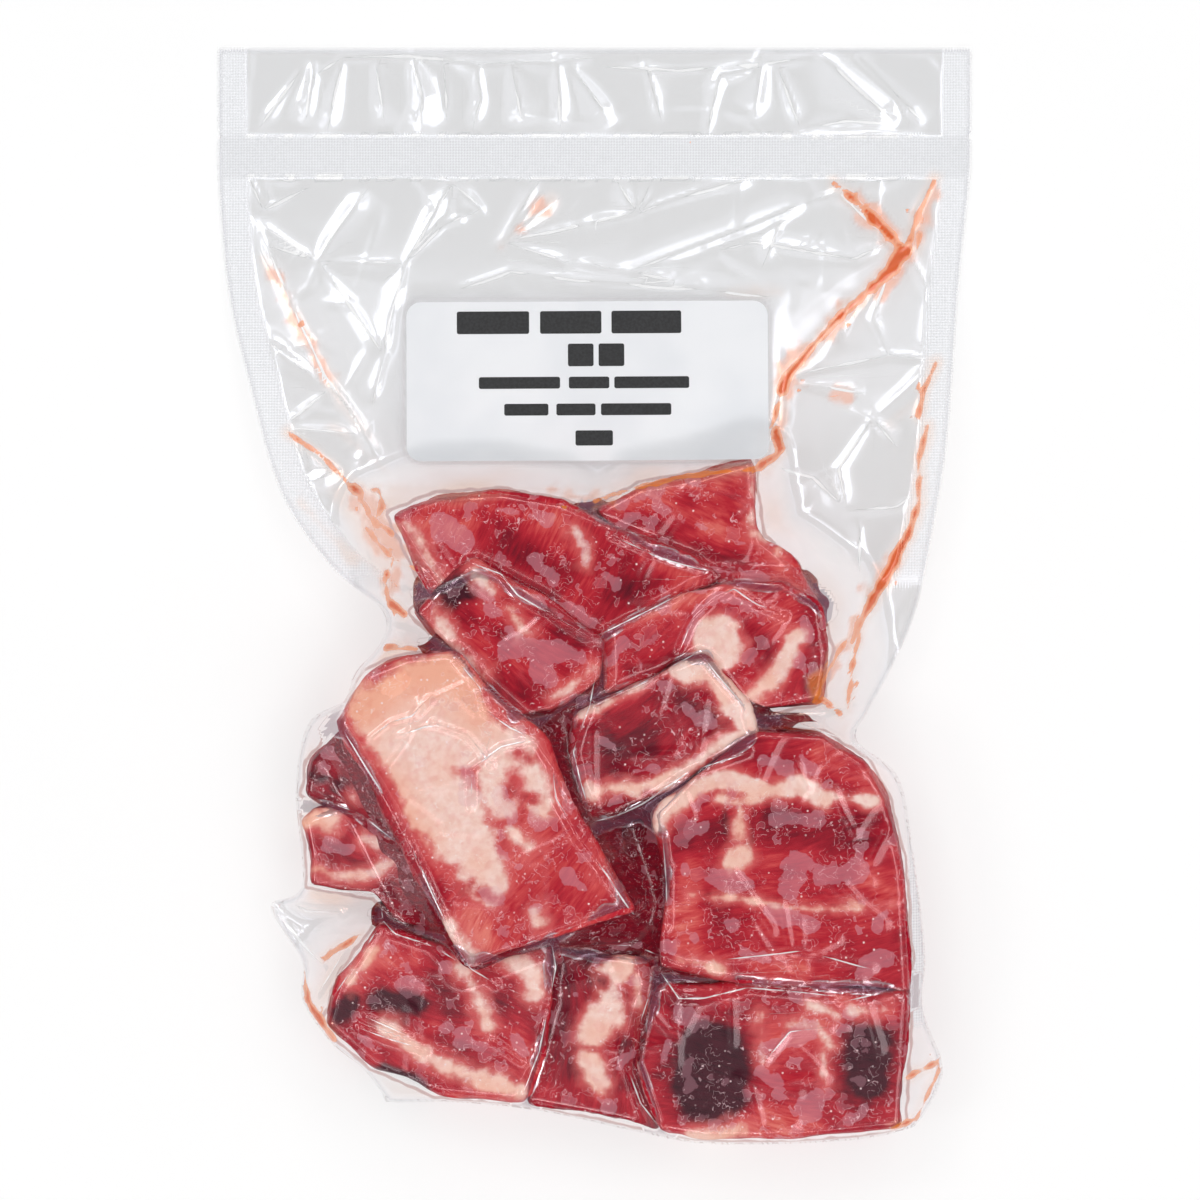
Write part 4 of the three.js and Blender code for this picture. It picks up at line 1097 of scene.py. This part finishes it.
bpy.ops.object.mode_set(mode="EDIT")
bpy.ops.mesh.select_all(action="SELECT")
bpy.ops.mesh.remove_doubles(threshold=0.02 * MM)
bpy.ops.mesh.select_mode(type="EDGE")
bpy.ops.mesh.select_all(action="DESELECT")
bpy.ops.mesh.edges_select_sharp(sharpness=math.radians(70))
bpy.ops.mesh.mark_sharp()
bpy.ops.mesh.select_mode(type="VERT")
bpy.ops.object.mode_set(mode="OBJECT")
bpy.ops.object.shade_smooth()


def clear_film():
    """Clear film that is embossed where it is welded, with painted white highlights along its
    creases, a painted dull violet shade and painted glints where it bridges two blocks, and
    wetted by the juice."""
    w = material("clear film")
    weld = w.field("weld")
    dots = w.node("ShaderNodeMapping", {
        "Vector": w.place, "Rotation": (0, 0, math.radians(45)), "Scale": (6.6, 6.6, 0)})
    dots = w.node("ShaderNodeSeparateXYZ", {0: dots.outputs[0]})
    rows = w.maths("SINE", dots.outputs[0])
    dots = w.maths("MULTIPLY", w.maths("MULTIPLY", rows, w.maths("SINE", dots.outputs[1])), weld)
    bump = w.node("ShaderNodeBump", {"Height": dots, "Strength": 0.5, "Distance": 0.25 * MM})
    bridge = w.field("bridge")
    # White highlights painted along the creases.
    line = w.maths("MULTIPLY", w.maths("ABSOLUTE", w.field("across")), -1)
    crease = w.step(w.maths("MULTIPLY_ADD", w.field("strength"), 0.42, line), -0.05, 0.15)
    # Glints painted along the edges of the blocks, where the film bends over them.
    lip_glint = w.maths("MULTIPLY", w.near(bridge, 0.08, 0.36), w.field("glint"))
    rim = w.near(w.field("rim"), 0.2, 0.6)
    wet = w.field("wet")
    tint, shine = w.field("tint", "Color"), w.field("shine")
    cover = w.maths("MULTIPLY_ADD", dots, 0.1, w.field("cover"))
    for share, colour, seen, bright in (
            # painted dull violet shade of the groove under film that bridges two blocks
            (w.step(bridge, -0.1, 0.6), (132, 100, 120), 0.45, 0.4),
            (rim, (168, 62, 34), 0.5, 0.3),
            # painted white highlight along the creases
            (crease, (254, 254, 255), 0.8, 0.1),
            # painted glint along the edges of the blocks
            (lip_glint, (240, 226, 236), 0.6, 0.7),
            (w.step(wet, -0.3, 0.1), (244, 136, 56), 0.72, 0.04),
            (w.step(wet, 0.2, 0.8), (226, 92, 14), 0.96, 0.04)):
        tint = w.mix(share, tint, srgb(*colour))
        cover = w.blend(share, cover, seen)
        shine = w.blend(share, shine, bright)
    return w.finish({
        "Base Color": tint, "Alpha": cover, "Metallic": shine,
        "Roughness": w.maths("MULTIPLY_ADD", weld, 0.3, 0.1), "Normal": bump.outputs[0],
    }, Specular_IOR_Level=0.8)


film.data.materials.clear()
film.data.materials.append(clear_film())
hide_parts("pouch")
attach(film, "root")


# ---- The label --------------------------------------------------------------------------------
# A white paper label with a smooth face, cut with round corners, stuck on the front film above
# the meat. Its print is plain bars, one for each word of a pack's label.
LABEL_TURN = math.radians(0.3)  # it was stuck on a little askew
LABEL_THICK = 0.35
LABEL_LIFT = 0.4  # it lies this far above the smooth film
BOW = 0.2  # and waves by this with the film's own unevenness
LABEL_CUTS = (43, 19)  # squares of 2 mm, fine enough for it to bend
BAR_CUTS = (6, 2)
BAR_CORNER = 0.5
BAR_THICK = 0.04
BAR_SUNK = 0.01  # the print's underside lies this deep in the paper


def on_film(piece, lift):
    """Lays a flat piece on the label's bed, the film above the meat, and turns it in place."""
    points = coordinates(piece.data)
    px, py, pz = points.T
    tx = LABEL_AT[0] + px * math.cos(LABEL_TURN) - py * math.sin(LABEL_TURN)
    ty = LABEL_AT[1] + px * math.sin(LABEL_TURN) + py * math.cos(LABEL_TURN)
    bow = BOW * waves(np.column_stack([tx, ty, 0 * tx]), 22, 31)
    bed = drape_height(tx, ty, 50)
    move_to(piece.data, np.column_stack([tx, ty, pz + bed + lift + bow]))


def paper():
    w = material("label paper")
    cloud = w.noise(w.place, 0.05, 2)
    colour = w.mix(w.step(cloud, 0.3, 0.7), srgb(232, 234, 238), srgb(240, 241, 244))
    grain = w.node("ShaderNodeBump", {
        "Height": w.noise(w.place, 3, 3), "Strength": 0.06, "Distance": 0.1 * MM})
    return w.finish({"Base Color": colour, "Normal": grain.outputs[0]}, Roughness=0.38)


def ink():
    w = material("label ink")
    worn = w.noise(w.place, 1.5, 3)
    colour = w.mix(w.step(worn, 0.3, 0.7), srgb(22, 22, 24), srgb(38, 38, 41))
    return w.finish({"Base Color": colour}, Roughness=0.5)


def rounded_plate(name, width, height, corner, thick, cuts):
    """A flat plate with round corners, cut into squares so that it can bend."""
    plate = added(bpy.ops.mesh.primitive_plane_add, name, size=1)
    move_to(plate.data, coordinates(plate.data) * MM * (width, height, 0))
    bpy.ops.object.mode_set(mode="EDIT")
    bpy.ops.mesh.select_all(action="SELECT")
    bpy.ops.mesh.bevel(affect="VERTICES", offset=corner * MM, segments=6)
    for axis, (count, side) in enumerate(zip(cuts, (width, height))):
        for k in range(1, count):
            place, facing = [0, 0, 0], [0, 0, 0]
            place[axis], facing[axis] = (k / count - 0.5) * side * MM, 1
            bpy.ops.mesh.select_all(action="SELECT")
            bpy.ops.mesh.bisect(plane_co=place, plane_no=facing)
    bpy.ops.mesh.select_all(action="SELECT")
    raise_selected(thick)
    face_outwards()
    return plate


label = rounded_plate("label_paper", *LABEL_SIZE, LABEL_CORNER, LABEL_THICK, LABEL_CUTS)
on_film(label, LABEL_LIFT)
only(label)
bpy.ops.object.shade_smooth_by_angle(angle=math.radians(35))
label.data.materials.append(paper())
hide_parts("label")
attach(label, "root")

# Each line of the print: its height above the label's middle, the height of its bars, and where
# each bar starts and ends.
PRINT = [
    (14.0, 5.4, (-31.0, -13.8), (-11.2, 3.4), (5.8, 22.4)),
    (6.2, 5.4, (-4.6, 1.5), (2.7, 8.8)),
    (-0.4, 2.8, (-25.8, -6.5), (-4.4, 5.2), (6.4, 24.2)),
    (-6.8, 2.8, (-19.8, -9.3), (-7.4, 1.9), (3.2, 19.9)),
    (-13.6, 3.6, (-2.9, 6.0)),
]
bars = []
for rise, tall, *words in PRINT:
    for start, end in words:
        bar = rounded_plate("bar", end - start, tall, BAR_CORNER, BAR_THICK, BAR_CUTS)
        move_to(bar.data, coordinates(bar.data) + ((start + end) / 2, rise, 0))
        on_film(bar, LABEL_LIFT + LABEL_THICK - BAR_SUNK)
        bars.append(bar)
bpy.ops.object.select_all(action="DESELECT")
for bar in bars:
    bar.select_set(True)
bpy.context.view_layer.objects.active = bars[0]
bpy.ops.object.join()
print_bars = bars[0]
print_bars.name = "label_print"
print_bars.data.materials.append(ink())
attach(print_bars, "root")


# ---- The studio -------------------------------------------------------------------------------
# A plain pale floor under a bright tent with a dark opening above, through which a long lens
# looks straight down, and soft boxes in a ring round the opening, which the creases catch.
FLOOR_SIZE = 6
FLOOR_DROP = 0.1  # it lies this far under the film, whose underside is its own surface
FLOOR_GLOW = 0.6  # the floor is a light table, so the pack throws next to no shadow
FRAME_WIDTH = 0.2861  # the photograph's frame takes in this much of the floor
FRAME_CENTRE = (1.3, -1.2)
CAMERA_HEIGHT = 3
SENSOR = 36
BOXES = [(20, 32), (80, 44), (140, 30), (200, 38), (265, 46), (320, 33)]
BOX_DISTANCE = 1.6
BOX_SIDE = 0.3
BOX_POWER = 1.0
OPENING = 0.05  # the light that comes from the dark opening over the pack
OPENING_EDGE = 0.4  # and from its edge
OPENING_CENTRE = (0, 0.1, 0)  # the opening is an oval, drawn out towards the pouch's mouth
OPENING_REACH = (0.24, 0.3)
OPENING_FADE = (0.4, 0.95)  # from its middle to its edge, in shares of its reach
RING_START = (1.0, 1.25)
RING = 1.6  # the light of the ring round it, more or less by RING_BLOTCH from place to place
RING_BLOTCH = 1.1
BLOTCH_SCALE = 2.6
BLOTCH_EDGE = (0.44, 0.56)
RING_TO = (0.62, 0.74)  # the ring ends between these two heights of a round sky
SIDES_LIGHT = 0.3

floor = added(bpy.ops.mesh.primitive_plane_add, "floor", size=FLOOR_SIZE)
floor.location.z = -FLOOR_DROP * MM
table = material("pale floor")
floor.data.materials.append(table.finish(
    {"Base Color": table.mix(
        table.noise(table.place, 0.01, 2), srgb(166, 166, 166), srgb(170, 170, 170))},
    Roughness=0.9, Emission_Color=(1, 1, 1, 1), Emission_Strength=FLOOR_GLOW))

for azimuth, tilt in BOXES:
    a, t = math.radians(azimuth), math.radians(tilt)
    way = (math.sin(t) * math.cos(a), math.sin(t) * math.sin(a), math.cos(t))
    box = added(bpy.ops.object.light_add, type="AREA", location=[BOX_DISTANCE * c for c in way])
    box.data.size = BOX_SIDE
    box.data.energy = BOX_POWER
    box.rotation_mode = "QUATERNION"
    box.rotation_quaternion = box.location.to_track_quat("Z", "Y")

sky = Weave(bpy.data.worlds.new("studio"), "Background")
way = sky.node("ShaderNodeTexCoord").outputs["Generated"]
up = sky.node("ShaderNodeSeparateXYZ", {0: way}).outputs["Z"]
from_opening = sky.vectors("SUBTRACT", way, OPENING_CENTRE)[0]
oval = sky.scaled(from_opening, 1 / OPENING_REACH[0], 1 / OPENING_REACH[1], 0)
reach = sky.vectors("LENGTH", oval)["Value"]
blotches = sky.noise(way, BLOTCH_SCALE, 1)
ring = sky.step(blotches, *BLOTCH_EDGE, RING - RING_BLOTCH, RING + RING_BLOTCH)
tent = sky.step(up, *RING_TO, SIDES_LIGHT, ring)
opening = sky.step(reach, *OPENING_FADE, OPENING, OPENING_EDGE)
tent = sky.step(reach, *RING_START, opening, tent)
scene = bpy.context.scene
scene.world = sky.finish({"Strength": tent}, Color=(1, 1, 1, 1))
scene.view_settings.view_transform = "Standard"

over = (FRAME_CENTRE[0] * MM, FRAME_CENTRE[1] * MM, CAMERA_HEIGHT)
camera = added(bpy.ops.object.camera_add, location=over, rotation=(0, 0, 0))
camera.data.sensor_width = SENSOR
camera.data.lens = SENSOR * CAMERA_HEIGHT / FRAME_WIDTH
scene.camera = camera
